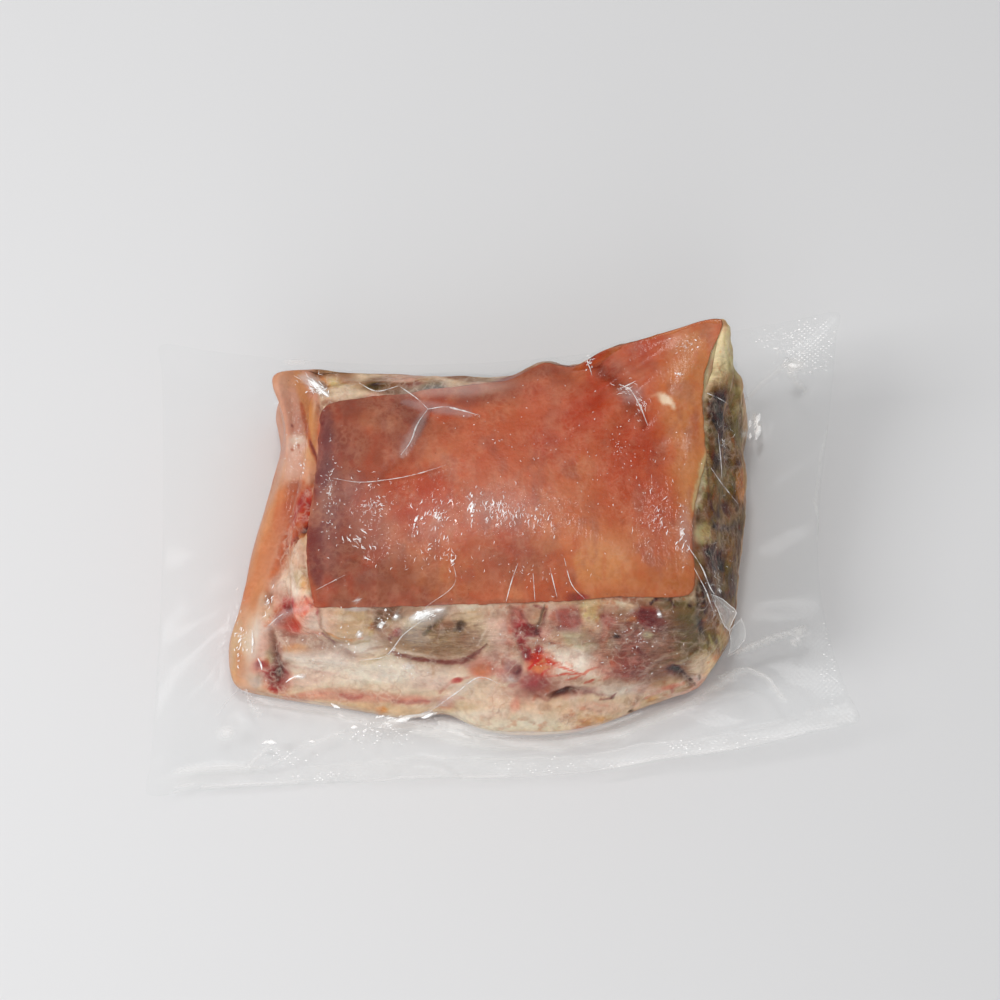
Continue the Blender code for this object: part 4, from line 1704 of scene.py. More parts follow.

# Marks on the front face. Its pit-shade dabs and shaded tints are painted shade, and the dark lines
# along its grooves are partly painted shade.
FACE_TINTS = painted(
    (Tint.CREAM_FAT, (420, 660, 190, 85, 95, 0, 20)),
    (Tint.PINK_MUSCLE, (306, 681, 20, 6, 40, 8),
     ((4.5, 60), 284, 699, 320, 697, 350, 698, 390, 701, 428, 704)),
    (Tint.ROSE_MUSCLE, (512, 687, 5, 2, 50), ((2, 60), 340, 697, 352, 698, 362, 698),
     ((2, 60), 392, 702, 412, 704, 430, 703)),
    (Tint.PINK_FAT, (300, 622, 30, 24, 90)),
    (Tint.WHITE_FAT, (306, 618, 12, 12, 60), (535, 648, 5, 4, 60)),
    (Tint.BLOOD_WASH, (303, 613, 4, 4, 70), ((1, 50), 592, 703, 600, 706, 610, 707)),
    (Tint.TAN_FAT, (380, 709, 40, 5, 50, -6)),
    (Tint.LILAC, (280, 619, 11, 7, 70, 35)),
    (Tint.BLOOD_WASH, (292, 609, 12, 6, 70), (290, 627, 9, 9, 90)),
    (Tint.CRIMSON, (286, 604, 4, 8, 90), ((1, 60), 317, 608, 318, 616, 319, 627)),
    (Tint.ORANGE_FAT, ((1.6, 80), 266, 623, 273, 614, 282, 606), (381, 712, 6, 4, 80)),
    (Tint.MAROON, ((1.6, 80), 302, 595, 306, 602, 312, 607)),
    (Tint.BRIGHT_BLOOD, (289, 624, 5, 4, 45)),
    # Painted shade in the hollow right of the crevice and under the upper slab's edge.
    (Tint.TAUPE, (284, 650, 14, 22, 60),
     ((5, 60), 276, 630, 300, 641, 322, 647, 340, 652, 354, 660)),
    (Tint.BLOOD_WASH, (277, 682, 15, 12, 70)),
    (Tint.MAROON, ((1.6, 70), 321, 636, 328, 641, 334, 648), (277, 679, 10, 9, 80)),
    (Tint.SHADED_FAT, (268, 658, 5, 9, 60)),
    (Tint.PINK_MUSCLE, ((2, 50), 284, 634, 304, 636, 320, 638)),
    (Tint.BROWN_LEAN, ((1.2, 70), 334, 648, 344, 654, 356, 659)),
    (Tint.TAN_FAT, (346, 626, 26, 15, 80, -4)),
    (Tint.SHADED_FAT, (352, 617, 16, 6, 50), ((1, 50), 340, 620, 350, 619, 362, 620, 369, 630)),
    (Tint.CRIMSON, (275, 690, 6, 5, 60)),
    (Tint.DARK_LEAN, (279, 676, 4, 7, 60)),
    (Tint.WHITE_FAT, (318, 660, 32, 9, 75, -8)),
    (Tint.PINK_FAT, (328, 624, 8, 12, 50)),
    (Tint.ORANGE_FAT, (296, 650, 14, 5, 45, -10),
     ((1.6, 70), 326, 635, 340, 642, 352, 643, 361, 642)),
    (Tint.MILKY_FAT, (316, 624, 10, 9, 50), (344, 619, 12, 3, 40)),
    (Tint.BLUE_WHITE, (358, 609, 14, 3.5, 75)),
    (Tint.YELLOW_FAT, (370, 632, 3, 10, 50)),
    (Tint.DARK_LEAN, (379, 625, 7, 9, 45), ((1.1, 70), 272, 634, 274, 646, 277, 658, 279, 670)),
    (Tint.RUST_RIND, (360, 642, 2.5, 1.5, 70), (371, 629, 3, 4, 40)),
    (Tint.PINK_MUSCLE, ((1.2, 50), 290, 668, 302, 670, 318, 673, 332, 677, 342, 671, 350, 662)),
    (Tint.BROWN_RIND, ((1.6, 60), 330, 605, 350, 604, 372, 607, 380, 612)),
    (Tint.BLUE_WHITE, (381, 634, 5, 2.5, 55, -20)),
    (Tint.TAUPE, (268, 640, 4, 12, 40)),
    (Tint.MIST, (368, 647, 18, 8, 80, 8)),
    (Tint.BROWN_LEAN, ((1.2, 55), 352, 657, 364, 653, 374, 650, 384, 650),
     ((0.9, 50), 343, 649, 352, 647, 362, 645)),
    (Tint.MILKY_FAT, (306, 669, 22, 5, 50, 4), (348, 652, 14, 4, 50, -10)),
    (Tint.BUTTER, (375, 676, 32, 10, 70)),
    (Tint.OLIVE_LEAN, (392, 614, 13, 9, 70)),
    (Tint.DARK_LEAN, (386, 609, 8, 3, 40), (388, 612, 15, 8, 50), (379, 626, 6, 7, 45),
     ((1.3, 50), 340, 605, 352, 603, 366, 606, 378, 608)),
    (Tint.MAROON, ((2.2, 55), 388, 643, 396, 636, 404, 631)),
    (Tint.SHADED_FAT, ((1.6, 60), 322, 634, 336, 644, 352, 646, 368, 644)),
    (Tint.MIST, (395, 668, 26, 12, 70)),
    (Tint.RUST_RIND, ((1.2, 60), 388, 638, 394, 634, 400, 629)),
    (Tint.BROWN_LEAN, ((1.3, 60), 318, 604, 321, 616, 320, 630, 330, 640)),
    (Tint.SHADED_FAT, ((1.8, 80), 358, 665, 372, 663, 388, 656)),
    (Tint.BUTTER, (415, 627, 16, 8, 70, 35)),
    (Tint.MILKY_FAT, (320, 661, 34, 8, 80, -6)),
    (Tint.GREY_LEAN, (440, 641, 48, 20, 90, 3)),
    (Tint.BROWN_LEAN, (446, 626, 10, 5, 50, 10), (470, 640, 12, 8, 40),
     ((1, 40), 474, 627, 484, 624, 492, 621), ((1.2, 50), 484, 640, 490, 630, 494, 622)),
    (Tint.DARK_LEAN, (461, 626, 5, 7, 75, -20), (457, 631, 6, 2.5, 50)),
    (Tint.SHADED_FAT, (436, 641, 20, 6, 35, 10)),
    (Tint.MAROON, ((1.7, 55), 392, 654, 404, 657, 416, 661, 430, 663)),
    (Tint.DARK_LEAN, (443, 633, 14, 2, 25)),
    (Tint.ROSE_MUSCLE, ((2.2, 70), 424, 661, 444, 663, 462, 664, 474, 658, 484, 648)),
    (Tint.OLIVE_LEAN, ((3.4, 75), 424, 636, 432, 628, 440, 619, 448, 609)),
    (Tint.BROWN_LEAN, (474, 654, 8, 4, 60, 35)),
    (Tint.DARK_LEAN, ((1.4, 50), 428, 632, 436, 624), (476, 655, 5, 2, 35, 35)),
    (Tint.LILAC, (466, 666, 5, 2, 60, -10)),
    (Tint.MILKY_FAT, ((2, 50), 396, 652, 420, 656, 436, 659)),
    (Tint.MIST, (470, 612, 26, 7, 85, 4)),
    (Tint.WHITE_FAT, ((1, 60), 476, 648, 482, 638, 487, 630)),
    (Tint.SHADED_LEAN, ((1, 60), 450, 616, 458, 613, 464, 613)),
    (Tint.SHADED_FAT, ((1.4, 60), 464, 622, 478, 618, 492, 614)),
    (Tint.ORANGE_FAT, ((1.2, 35), 468, 612, 484, 613, 494, 611)),
    (Tint.PINK_FAT, (497, 628, 10, 24)),
    (Tint.WHITE_FAT, (492, 612, 10, 6, 70)),
    (Tint.TAUPE, (492, 656, 8, 7, 50)),
    (Tint.LILAC, (507, 634, 7, 18, 60)),
    (Tint.BLOOD_WASH, (482, 669, 13, 9, 60, 10), (514, 630, 6, 12, 60), (510, 646, 5, 5, 50)),
    (Tint.CRIMSON, ((4, 60), 512, 618, 521, 626, 519, 640, 523, 652), (519, 621, 5, 4, 50)),
    (Tint.TAN_FAT, (533, 615, 14, 13, 90), (472, 615, 26, 6, 50, 4)),
    (Tint.ORANGE_FAT, (482, 670, 8, 6, 50)),
    (Tint.WHITE_FAT, (440, 678, 26, 12, 70)),
    (Tint.GREY_FAT, (530, 611, 9, 6, 60)),
    (Tint.MAROON, ((1.6, 70), 534, 606, 542, 609, 549, 611),
     ((1.5, 50), 424, 661, 444, 664, 464, 664, 476, 656, 484, 648)),
    (Tint.SHADED_FAT, (537, 622, 7, 5, 50)),
    (Tint.MAROON, (531, 631, 8, 5, 80, -30), ((1.4, 70), 546, 613, 544, 625, 538, 637)),
    (Tint.TAN_FAT, ((1.6, 60), 430, 665, 433, 675, 430, 686)),
    (Tint.PINK_MUSCLE, ((2, 60), 440, 696, 448, 686, 460, 680, 470, 678)),
    (Tint.DARK_LEAN, ((1.8, 65), 507, 604, 513, 609, 519, 611)),
    (Tint.PURPLE_RIND, (534, 634, 5, 3, 50)),
    (Tint.MILKY_FAT, (385, 673, 42, 10, 60)),
    (Tint.BRIGHT_BLOOD, (456, 683, 6, 3, 60, 15)),
    (Tint.PINK_FAT, (548, 628, 18, 6, 85, 64)),
    (Tint.WHITE_FAT, (530, 642, 5, 5, 60)),
    (Tint.CRIMSON, (457, 682, 5, 2.5, 40, 15), (520, 630, 7, 10, 45)),
    (Tint.ROSE_MUSCLE, (569, 620, 15, 13, 90)),
    (Tint.MAROON, (576, 616, 7, 5, 30), (529, 633, 11, 6, 65, -20)),
    (Tint.LILAC, ((1.8, 60), 557, 612, 560, 622, 558, 632),
     ((1, 50), 562, 614, 572, 624, 582, 628)),
    (Tint.PINK_FAT, (430, 684, 22, 8, 50)),
    (Tint.YELLOW_FAT, (593, 612, 11, 13)),
    (Tint.BROWN_LEAN, (590, 619, 1.8, 1.4, 70), (601, 612, 2, 1.6, 60)),
    (Tint.PURPLE_RIND, (562, 630, 6, 4, 30)),
    (Tint.BUTTER, (590, 604, 9, 4, 60, 20)),
    (Tint.ORANGE_FAT, (597, 622, 2, 2, 80)),
    (Tint.LILAC, (572, 632, 10, 3, 60)),
    (Tint.BROWN_LEAN, (586, 611, 1.4, 1.8, 60)),
    (Tint.TAN_FAT, (590, 629, 10, 6, 70)),
    (Tint.GREEN_FAT, (580, 643, 18, 8, 95, -20)),
    (Tint.BUTTER, (578, 641, 9, 4, 60, -20)),
    (Tint.BROWN_LEAN, ((1.5, 70), 550, 646, 564, 650, 578, 654, 592, 658)),
    (Tint.RUST_RIND, ((1.2, 50), 560, 650, 574, 651)),
    (Tint.PINK_MUSCLE, (551, 642, 11, 6, 45)),
    (Tint.TAN_FAT, (556, 640, 8, 4, 50)),
    (Tint.WHITE_FAT, (572, 664, 34, 15, 95, -6)),
    (Tint.BLOOD_WASH, ((1.3, 70), 566, 682, 576, 680, 590, 670, 598, 667),
     (607, 679, 5, 3, 50, 30)),
    (Tint.CLEAN_WHITE, (568, 661, 20, 7, 75, -4)),
    (Tint.BLOOD_WASH, (540, 666, 14, 13, 80), ((1.2, 60), 564, 664, 572, 668)),
    (Tint.BRIGHT_BLOOD, ((1.1, 65), 541, 679, 556, 677, 566, 675, 580, 675),
     ((1.4, 70), 584, 685, 590, 683, 594, 681)),
    (Tint.ORANGE_FAT, (541, 668, 9, 8, 50)),
    (Tint.BRIGHT_BLOOD, (536, 659, 6, 5, 70, 40), ((1.8, 80), 546, 660, 551, 664, 561, 665),
     ((1.3, 75), 528, 671, 534, 665, 541, 660), ((1.2, 70), 530, 674, 540, 677, 549, 670)),
    (Tint.CRIMSON, (539, 652, 4, 3, 70), (527, 656, 5, 6, 80)),
    (Tint.LILAC, (510, 671, 14, 12, 75)),
    (Tint.BLUE_WHITE, (516, 681, 10, 3, 60), ((1, 60), 509, 664, 508, 672, 511, 680, 518, 685)),
    (Tint.PURPLE_RIND, (526, 655, 3, 4, 35)),
    (Tint.PINK_MUSCLE, (500, 671, 5, 6, 60)),
    (Tint.MAROON, (517, 671, 5, 5)),
    (Tint.DARK_LEAN, (504, 665, 4, 2, 35)),
    (Tint.PIT_SHADE, (516, 670, 2.5, 2.5, 50)),
    (Tint.ROSE_MUSCLE, (534, 681, 14, 7, 65, -20)),
    (Tint.MAROON, (544, 686, 6, 4, 50, 20), (512, 668, 8, 6, 40)),
    (Tint.PURPLE_RIND, (524, 680, 6, 5, 30)),
    (Tint.GREY_FAT, (556, 682, 8, 5, 40)),
    (Tint.TAN_FAT, (549, 694, 8, 6, 60)),
    (Tint.MAROON, ((1.5, 60), 530, 692, 540, 699, 548, 703, 554, 699), (564, 694, 12, 4, 85, 16)),
    (Tint.ROSE_MUSCLE, (532, 685, 17, 7, 70, -20)),
    (Tint.PIT_SHADE, (562, 696, 8, 2.6, 75, 10)),
    (Tint.TAUPE, (580, 693, 14, 5, 60)),
    (Tint.GREY_FAT, (572, 704, 24, 6, 50)),
    (Tint.MAROON, ((1, 60), 584, 693, 598, 696, 612, 696)),
    (Tint.PIT_SHADE, (613, 698, 2, 3, 60)),
    (Tint.TAN_FAT, (560, 712, 60, 14, 45)),
    (Tint.BUTTER, (490, 722, 34, 11, 75), (540, 726, 26, 6, 50)),
    (Tint.WHITE_FAT, (614, 692, 22, 6, 70)),
    (Tint.ORANGE_FAT, (595, 722, 15, 6, 60)),
    (Tint.PINK_FAT, (600, 708, 24, 6, 50)),
    (Tint.BLOOD_WASH, (514, 707, 5, 8, 50, -20)),
    (Tint.SHADED_FAT, (462, 710, 18, 6, 60)),
    (Tint.MIST, (630, 690, 20, 6, 50, 10)),
    (Tint.PINK_MUSCLE, (446, 706, 8, 4, 50)),
    (Tint.BROWN_LEAN, (650, 648, 52, 38, 85, 0, 25)),
    (Tint.TAUPE, (634, 650, 26, 24, 60)),
    (Tint.TAN_FAT, (612, 608, 16, 8, 80), ((1.6, 70), 618, 622, 630, 621, 640, 618)),
    (Tint.ROSE_MUSCLE, (626, 668, 22, 15, 75, -15), (632, 640, 14, 12, 45), (608, 621, 7, 8, 75)),
    (Tint.MAROON, (605, 618, 4, 3, 30), ((2.2, 50), 634, 648, 641, 654, 647, 658),
     (680, 677, 12, 5, 80, -25)),
    (Tint.MIST, (620, 606, 7, 5, 50), (657, 643, 5, 3, 60)),
    (Tint.ORANGE_FAT, (634, 621, 4, 3, 90)),
    (Tint.TAN_FAT, ((1.6, 60), 606, 636, 610, 650, 608, 662)),
    (Tint.OLIVE_LEAN, ((2, 50), 650, 676, 664, 666, 684, 660, 700, 652)),
    (Tint.GREEN_FAT, (648, 638, 5, 3, 80)),
    (Tint.DARK_LEAN, (616, 639, 4, 2.6, 85, -10)),
    (Tint.PINK_FAT, ((0.9, 50), 622, 652, 634, 648, 646, 643)),
    (Tint.PIT_SHADE, (684, 679, 11, 4, 80, -38)),
    (Tint.CRIMSON, (650, 620, 14, 9, 60, -20)),
    # The blue-white dab at (696, 680) is a painted highlight on the pit's edge.
    (Tint.BLUE_WHITE, (696, 680, 6, 3, 70), (632, 613, 2.5, 2, 50)),
    (Tint.MAROON, (653, 622, 14, 10, 70, -25), (661, 631, 7, 6, 60)),
    (Tint.TAN_FAT, (664, 608, 12, 8, 60), (608, 650, 6, 12, 50)),
    (Tint.PURPLE_RIND, (644, 616, 5, 4, 40)),
    # Painted highlight along the film's edge.
    (Tint.CLEAN_WHITE, ((0.8, 70), 686, 676, 690, 680, 696, 685)),
    (Tint.SIDE_BROWN, (614, 613, 14, 6, 50)),
    (Tint.MIST, ((1, 60), 655, 608, 661, 614, 668, 608, 674, 602)),
    (Tint.OLIVE_LEAN, ((1.6, 70), 660, 612, 666, 620, 676, 614), (688, 628, 14, 30, 80)),
    # The wide dark streak from (699, 588) is painted shade in the crevice by the right edge.
    (Tint.DARK_LEAN, ((1.8, 75), 651, 604, 658, 599, 668, 600, 676, 597),
     ((4.2, 75), 699, 588, 702, 604, 703, 622, 707, 638)),
    (Tint.BLOOD_WASH, (604, 640, 4, 12, 35)),
    (Tint.TAN_FAT, (664, 690, 28, 8, 70, 22)),
    (Tint.SHADED_LEAN, (680, 612, 12, 12, 50)),
    (Tint.YELLOW_FAT, (688, 640, 8, 6, 25)),
    (Tint.MIST, ((2.2, 60), 640, 678, 652, 668, 664, 658, 684, 652)),
    (Tint.MAROON, ((1.3, 60), 650, 606, 655, 601, 664, 602)),
    (Tint.BROWN_LEAN, (716, 626, 8, 8, 50)),
    (Tint.BLOOD_WASH, ((2, 50), 646, 700, 664, 692, 684, 686)),
    # Painted diagonal shadow.
    (Tint.TAUPE, ((2.2, 60), 655, 674, 648, 688, 636, 704, 630, 712)),
    (Tint.GREY_FAT, ((1.2, 60), 684, 610, 688, 602, 692, 598)),
    (Tint.DARK_LEAN, (690, 605, 3, 3, 70), (631, 712, 3, 1.6, 85, 15)),
    (Tint.OLIVE_LEAN, (712, 645, 14, 12, 80)),
    (Tint.MAROON, (727, 617, 7, 6, 75)),
    (Tint.CRIMSON, (673, 693, 1.5, 2.5, 50)),
    (Tint.ORANGE_FAT, (654, 700, 7, 3, 40, 25)),
    (Tint.GREEN_FAT, ((2, 45), 676, 668, 690, 660, 700, 654)),
    (Tint.DARK_LEAN, (703, 653, 2, 2, 60)),
    (Tint.CREAM_FAT, (703, 664, 14, 9, 90, 30)),
    (Tint.WHITE_FAT, (697, 668, 6, 4, 50, 30)),
    (Tint.TAN_FAT, (720, 656, 6, 10, 50, 60)),
    (Tint.PIT_SHADE, (701, 679, 2, 2, 70)),
    (Tint.GREY_LEAN, (703, 660, 12, 5, 40, 30)),
)

FACE_WASHES = painted(
    (Tint.MILKY_FAT, (330, 680, 54, 9, 50, 3, 60), (332, 664, 36, 12, 40, 0, 60),
     (350, 652, 26, 5, 50, 0, 60), (400, 684, 40, 10, 40, 0, 70), (572, 662, 16, 9, 50, 0, 70)),
    (Tint.TAUPE, (596, 648, 16, 8, 40, 0, 70), (452, 664, 30, 9, 45, 0, 70),
     (322, 650, 26, 6, 40, 8, 70)),
    (Tint.BRUISED, (544, 690, 30, 10, 60, 12, 70), (640, 665, 28, 18, 35, 0, 80),
     ((1.6, 60), 395, 657, 420, 662, 445, 664, 466, 660, 484, 650)),
    (Tint.MAROON, (575, 694, 22, 4, 45, 8, 70), (650, 616, 14, 11, 40, 0, 70),
     ((1, 50), 600, 700, 612, 700, 616, 694)),
    (Tint.BROWN_LEAN, (392, 611, 22, 8, 60, 0, 70), (389, 637, 14, 12, 60, 0, 70)),
    (Tint.CRIMSON, (397, 634, 4, 4, 60, 30, 60), (523, 648, 5, 10, 50, 0, 70),
     (536, 684, 14, 7, 45, 20, 70)),
    (Tint.ROSE_MUSCLE, (516, 616, 14, 16, 55, 0, 70), (486, 664, 14, 10, 40, 0, 70)),
    (Tint.MIST, (500, 722, 62, 12, 70, 0, 50), (470, 716, 24, 5, 60, 0, 50)),
    (Tint.PINK_MUSCLE, (604, 664, 14, 12, 60, 0, 70),
     ((3.4, 35), 300, 695, 340, 692, 380, 697, 430, 702, 462, 700)),
    (Tint.DARK_LEAN, (566, 694, 14, 3, 60, 12, 70),
     ((1.3, 60), 668, 672, 680, 674, 690, 682, 698, 688)),
    (Tint.TAUPE, (425, 612, 34, 8, 50, 0, 70), (492, 614, 14, 8, 50, 0, 70)),
    (Tint.PINK_FAT, (502, 645, 8, 24, 50, 0, 70), (520, 706, 46, 10, 30, 0, 80)),
    (Tint.BLOOD_WASH, (292, 612, 18, 15, 50, 0, 80)),
    (Tint.CRIMSON, (285, 603, 5, 6, 60, 0, 70), (292, 627, 7, 5, 35, 0, 80),
     (520, 622, 7, 12, 50, 20, 70)),
    (Tint.OLIVE_LEAN, (690, 628, 26, 30, 50, 0, 80)),
    # Dark olive at (703, 612): painted shade in the same crevice.
    (Tint.DARK_OLIVE, (703, 612, 8, 22, 70, 0, 70), (668, 604, 12, 6, 50, 0, 70)),
    (Tint.DARK_LEAN, ((1.4, 70), 651, 607, 656, 598, 664, 597, 672, 601, 676, 608),
     (690, 606, 3, 4, 60, 0, 60)),
    (Tint.BRIGHT_BLOOD, ((1, 60), 528, 668, 545, 664, 560, 668, 585, 676)),
    (Tint.MILKY_FAT, (640, 692, 40, 5, 50, -10, 60)),
    (Tint.MAROON, (390, 640, 2, 4, 50, 0, 60)),
    (Tint.WHITE_FAT, (486, 640, 16, 22, 35, 20, 80)),
    (Tint.BRUISED, (548, 618, 24, 22, 35, 0, 80)),
    (Tint.BROWN_LEAN, (728, 622, 14, 18, 60, 0, 70)),
    (Tint.CRIMSON, (530, 634, 9, 5, 50, 0, 70)),
    (Tint.MILKY_FAT, ((1, 60), 540, 652, 556, 648, 578, 652, 596, 660)),
    (Tint.MAROON, ((1.2, 60), 520, 612, 527, 622, 533, 632, 541, 640)),
    (Tint.DARK_LEAN, ((1.2, 55), 545, 606, 541, 620, 536, 634)),
)

# Tints of the right face and of the back strip above the top's edge. On the right face they are
# darker than the front's, partly the tissue's own dark lean and partly painted shade of the face
# turned from the key light.
SIDE_TINTS = painted(
    (Tint.OLIVE_BROWN, (726, 505, 26, 130, 95, 0, 20)),
    (Tint.SIDE_BROWN, (735, 546, 8, 18, 60), (724, 590, 12, 12, 75)),
    (Tint.PALE_OLIVE, (731, 566, 5, 12, 50), (730, 586, 4, 8, 50, -30)),
    (Tint.OLIVE_LEAN, (716, 645, 15, 10)),
    (Tint.GREEN_FAT, ((1.4, 60), 712, 638, 716, 648, 718, 656),
     ((1.2, 60), 721, 637, 723, 646, 722, 652)),
    (Tint.CREAM_FAT, (340, 387, 26, 11, 95, 0, 20)),
    (Tint.SIDE_FAT, (722, 356, 17, 38, 95, -8, 20)),
    (Tint.PIT_SHADE, (728, 527, 9, 3, 60, 0, 50)),
    (Tint.PINK_MUSCLE, (714, 614, 8, 16, 60, -10)),
    (Tint.SIDE_BROWN, (718, 625, 9, 9, 70), (727, 617, 6, 7, 70, 0, 60),
     (400, 382, 44, 9, 80, 0, 20)),
    (Tint.DARK_OLIVE, ((1.2, 60), 708, 640, 711, 650, 709, 656), (704, 604, 6, 16, 90, 0, 60)),
    (Tint.TAN_FAT, (728, 640, 5, 14, 50, 20), (352, 381, 10, 4, 60)),
    (Tint.AMBER_RIND, (320, 382, 9, 6, 70, -20)),
    (Tint.DARK_LEAN, (716, 402, 9, 14, 50), (323, 384, 4, 2.5, 50, -20)),
    (Tint.YELLOW_FAT, (336, 381, 8, 4, 40)),
    (Tint.BUTTER, (721, 340, 6, 18, 40, -6)),
    (Tint.PALE_OLIVE, (738, 396, 8, 32, 80, -4)),
    (Tint.DARK_OLIVE, (719, 408, 14, 21), (714, 608, 10, 22, 40, 0, 80)),
    (Tint.OLIVE_LEAN, (376, 383, 10, 4, 80)),
    (Tint.PINK_FAT, (402, 376, 16, 3.5, 80)),
    (Tint.CREAM_FAT, (706, 666, 14, 11, 85, 30)),
    (Tint.BROWN_RIND, (346, 378, 10, 2, 40, 0, 70)),
    (Tint.SIDE_FAT, (735, 372, 6, 12, 50)),
    (Tint.OLIVE_BROWN, (722, 446, 14, 24, 80)),
    (Tint.SIDE_FAT, ((3.6, 90), 708, 380, 705, 400, 707, 430, 708, 455),
     ((6.5, 90), 708, 452, 705, 478, 701, 500, 699, 512)),
    (Tint.DARK_LEAN, (377, 381, 4, 2, 70)),
    (Tint.DARK_OLIVE, (377, 383, 9, 3, 60, 0, 70)),
    (Tint.SIDE_BROWN, (712, 512, 7, 7, 80, -30), (398, 384, 16, 4, 50, 0, 70)),
    (Tint.MAROON, (418, 380, 5, 2, 60), (410, 382, 9, 2, 40, 0, 70)),
    (Tint.TAN_RIND, (722, 662, 5, 9, 60, 60)),
    (Tint.MIST, (721, 348, 12, 32, 70, -6, 50)),
    (Tint.PALE_OLIVE, (738, 440, 6, 16, 60)),
    (Tint.BUTTER, (704, 486, 4, 18, 50, -10)),
    (Tint.DARK_LEAN, ((1.4, 70), 709, 462, 712, 482, 711, 500), (700, 514, 3, 9, 75, -10),
     ((1.6, 70), 712, 500, 718, 512, 728, 521, 740, 520)),
    (Tint.GREEN_FAT, (706, 533, 10, 10, 75), ((2, 50), 724, 334, 730, 352, 736, 372)),
    (Tint.SIDE_BROWN, (738, 455, 6, 8, 80), (734, 514, 8, 8, 70, 30)),
    (Tint.DARK_OLIVE, (729, 508, 4, 6, 60, 30), (714, 404, 10, 18, 70, 0, 50)),
    (Tint.PALE_OLIVE, (725, 484, 12, 14, 50), ((3.4, 70), 733, 364, 741, 396, 743, 420, 742, 446)),
    (Tint.OLIVE_LEAN, (702, 554, 8, 10, 70), ((1.4, 50), 738, 380, 744, 405, 745, 430, 740, 455)),
    (Tint.TAN_FAT, (424, 377, 8, 3, 60)),
    (Tint.YELLOW_FAT, (706, 532, 6, 7, 35)),
    (Tint.PIT_SHADE, (722, 527, 6, 3.5, 90, -5)),
    (Tint.DARK_LEAN, (742, 464, 4, 4, 50)),
    (Tint.DARK_OLIVE, (718, 440, 12, 30, 50, 0, 70)),
    (Tint.OLIVE_BROWN, (712, 488, 10, 16, 30, 0, 80)),
    (Tint.PURPLE_RIND, (717, 556, 10, 13, 45)),
    (Tint.PIT_SHADE, (718, 557, 8, 11, 85, 20), (721, 571, 5, 4, 70)),
    (Tint.GREY_LEAN, (701, 572, 5, 8, 55)),
    (Tint.OLIVE_LEAN, (434, 384, 12, 4, 80)),
    (Tint.DARK_OLIVE, (702, 590, 5, 12), (440, 387, 5, 2, 60), (434, 385, 10, 3, 50, 0, 70)),
    (Tint.PALE_OLIVE, (720, 536, 6, 5, 50)),
    (Tint.ORANGE_FAT, (745, 484, 5, 18, 80)),
    (Tint.LILAC, (710, 547, 3, 3, 50)),
    (Tint.TAN_FAT, (462, 382, 14, 4)),
    (Tint.PINK_RIND, (746, 496, 3, 6, 60), (480, 381, 10, 2.5, 70)),
    (Tint.PIT_SHADE, (717, 561, 9, 17, 80, 10, 60)),
    (Tint.MAUVE_RIND, ((6, 95), 486, 388, 505, 380, 530, 372, 560, 366, 580, 366)),
    (Tint.BRUISED, (477, 386, 12, 5, 50)),
    (Tint.PURPLE_RIND, (712, 550, 5, 6, 50, 0, 60)),
    (Tint.DARK_OLIVE, (722, 586, 14, 14, 50, 0, 70)),
    (Tint.SIDE_FAT, (704, 532, 12, 10, 50, 0, 60)),
)

LEAN_AREAS = painted(
    (0.6, (388, 612, 14, 9, 60, 0, 35)),
    (1, (444, 638, 50, 20, 90, 0, 35), (645, 645, 54, 36, 90, 0, 35), (722, 450, 16, 60, 60, 0, 35),
     (585, 622, 40, 22, 40, 0, 35), (527, 640, 18, 40, 30, 0, 35), (726, 480, 24, 120, 90, 0, 35)),
)

FACE_RELIEF = painted(
    (-1.2, ((5.1, 100), 318, 405, 316, 450, 313, 492, 303, 526, 303, 560, 311, 596)),
    (-1.1, ((5.1, 100), 699, 590, 702, 606, 703, 622, 707, 640)),
    (-0.99, ((3.4, 100), 268, 624, 272, 640, 277, 660, 279, 684)),
    (-0.87, ((4.4, 100), 322, 401, 352, 396, 400, 390, 470, 386)),
    (-0.81, ((3.1, 100), 390, 655, 410, 660, 436, 664, 462, 665, 478, 657, 486, 647)),
    (-0.74, ((4.1, 100), 292, 538, 276, 570, 266, 600)),
    (-0.68, ((3.7, 100), 282, 634, 306, 640, 330, 646, 352, 658, 372, 658)),
    (-0.56, ((3.4, 100), 368, 612, 370, 626, 384, 640, 390, 650),
     ((3.1, 100), 547, 612, 544, 626, 538, 638)),
    (-0.5, ((3.4, 100), 508, 606, 514, 616, 518, 640, 524, 656, 518, 684),
     ((3.1, 100), 550, 647, 566, 653, 582, 657, 597, 653)),
    (-0.43, ((3.4, 100), 528, 690, 540, 700, 550, 703, 562, 696, 590, 694, 612, 697),
     ((3.4, 100), 606, 684, 630, 684, 648, 672, 676, 660, 700, 650)),
    (-0.37, ((3.4, 100), 640, 610, 638, 626, 656, 638, 670, 634),
     ((3.4, 100), 290, 690, 345, 694, 420, 698, 450, 694)),
    (-0.31, ((3.1, 100), 584, 604, 581, 620, 590, 634), ((3.1, 100), 603, 604, 604, 624, 601, 640)),
    (0.6, (569, 620, 13, 12, 90, 0, 60), (593, 612, 9, 11, 90, 0, 60),
     (655, 622, 15, 11, 90, -20, 60), (630, 660, 26, 22, 90, 0, 70), (606, 708, 36, 10, 90, 0, 60),
     (510, 671, 12, 10, 90, 0, 50)),
    (0.7, (686, 630, 12, 26, 90, 0, 60)),
    (0.8, (348, 626, 22, 13, 90, -4, 60), (305, 620, 18, 13, 90, 0, 60),
     (580, 643, 17, 8, 90, -20, 50), (400, 676, 90, 11, 90, 0, 60), (500, 716, 56, 13, 90, 0, 60)),
    (0.9, (533, 615, 13, 11, 90, 0, 40), (318, 660, 32, 9, 90, -6, 60),
     (570, 664, 31, 12, 90, -6, 50), (703, 664, 13, 8, 90, 30, 40)),
    (1, (440, 640, 44, 17, 90, 3, 60)),
)

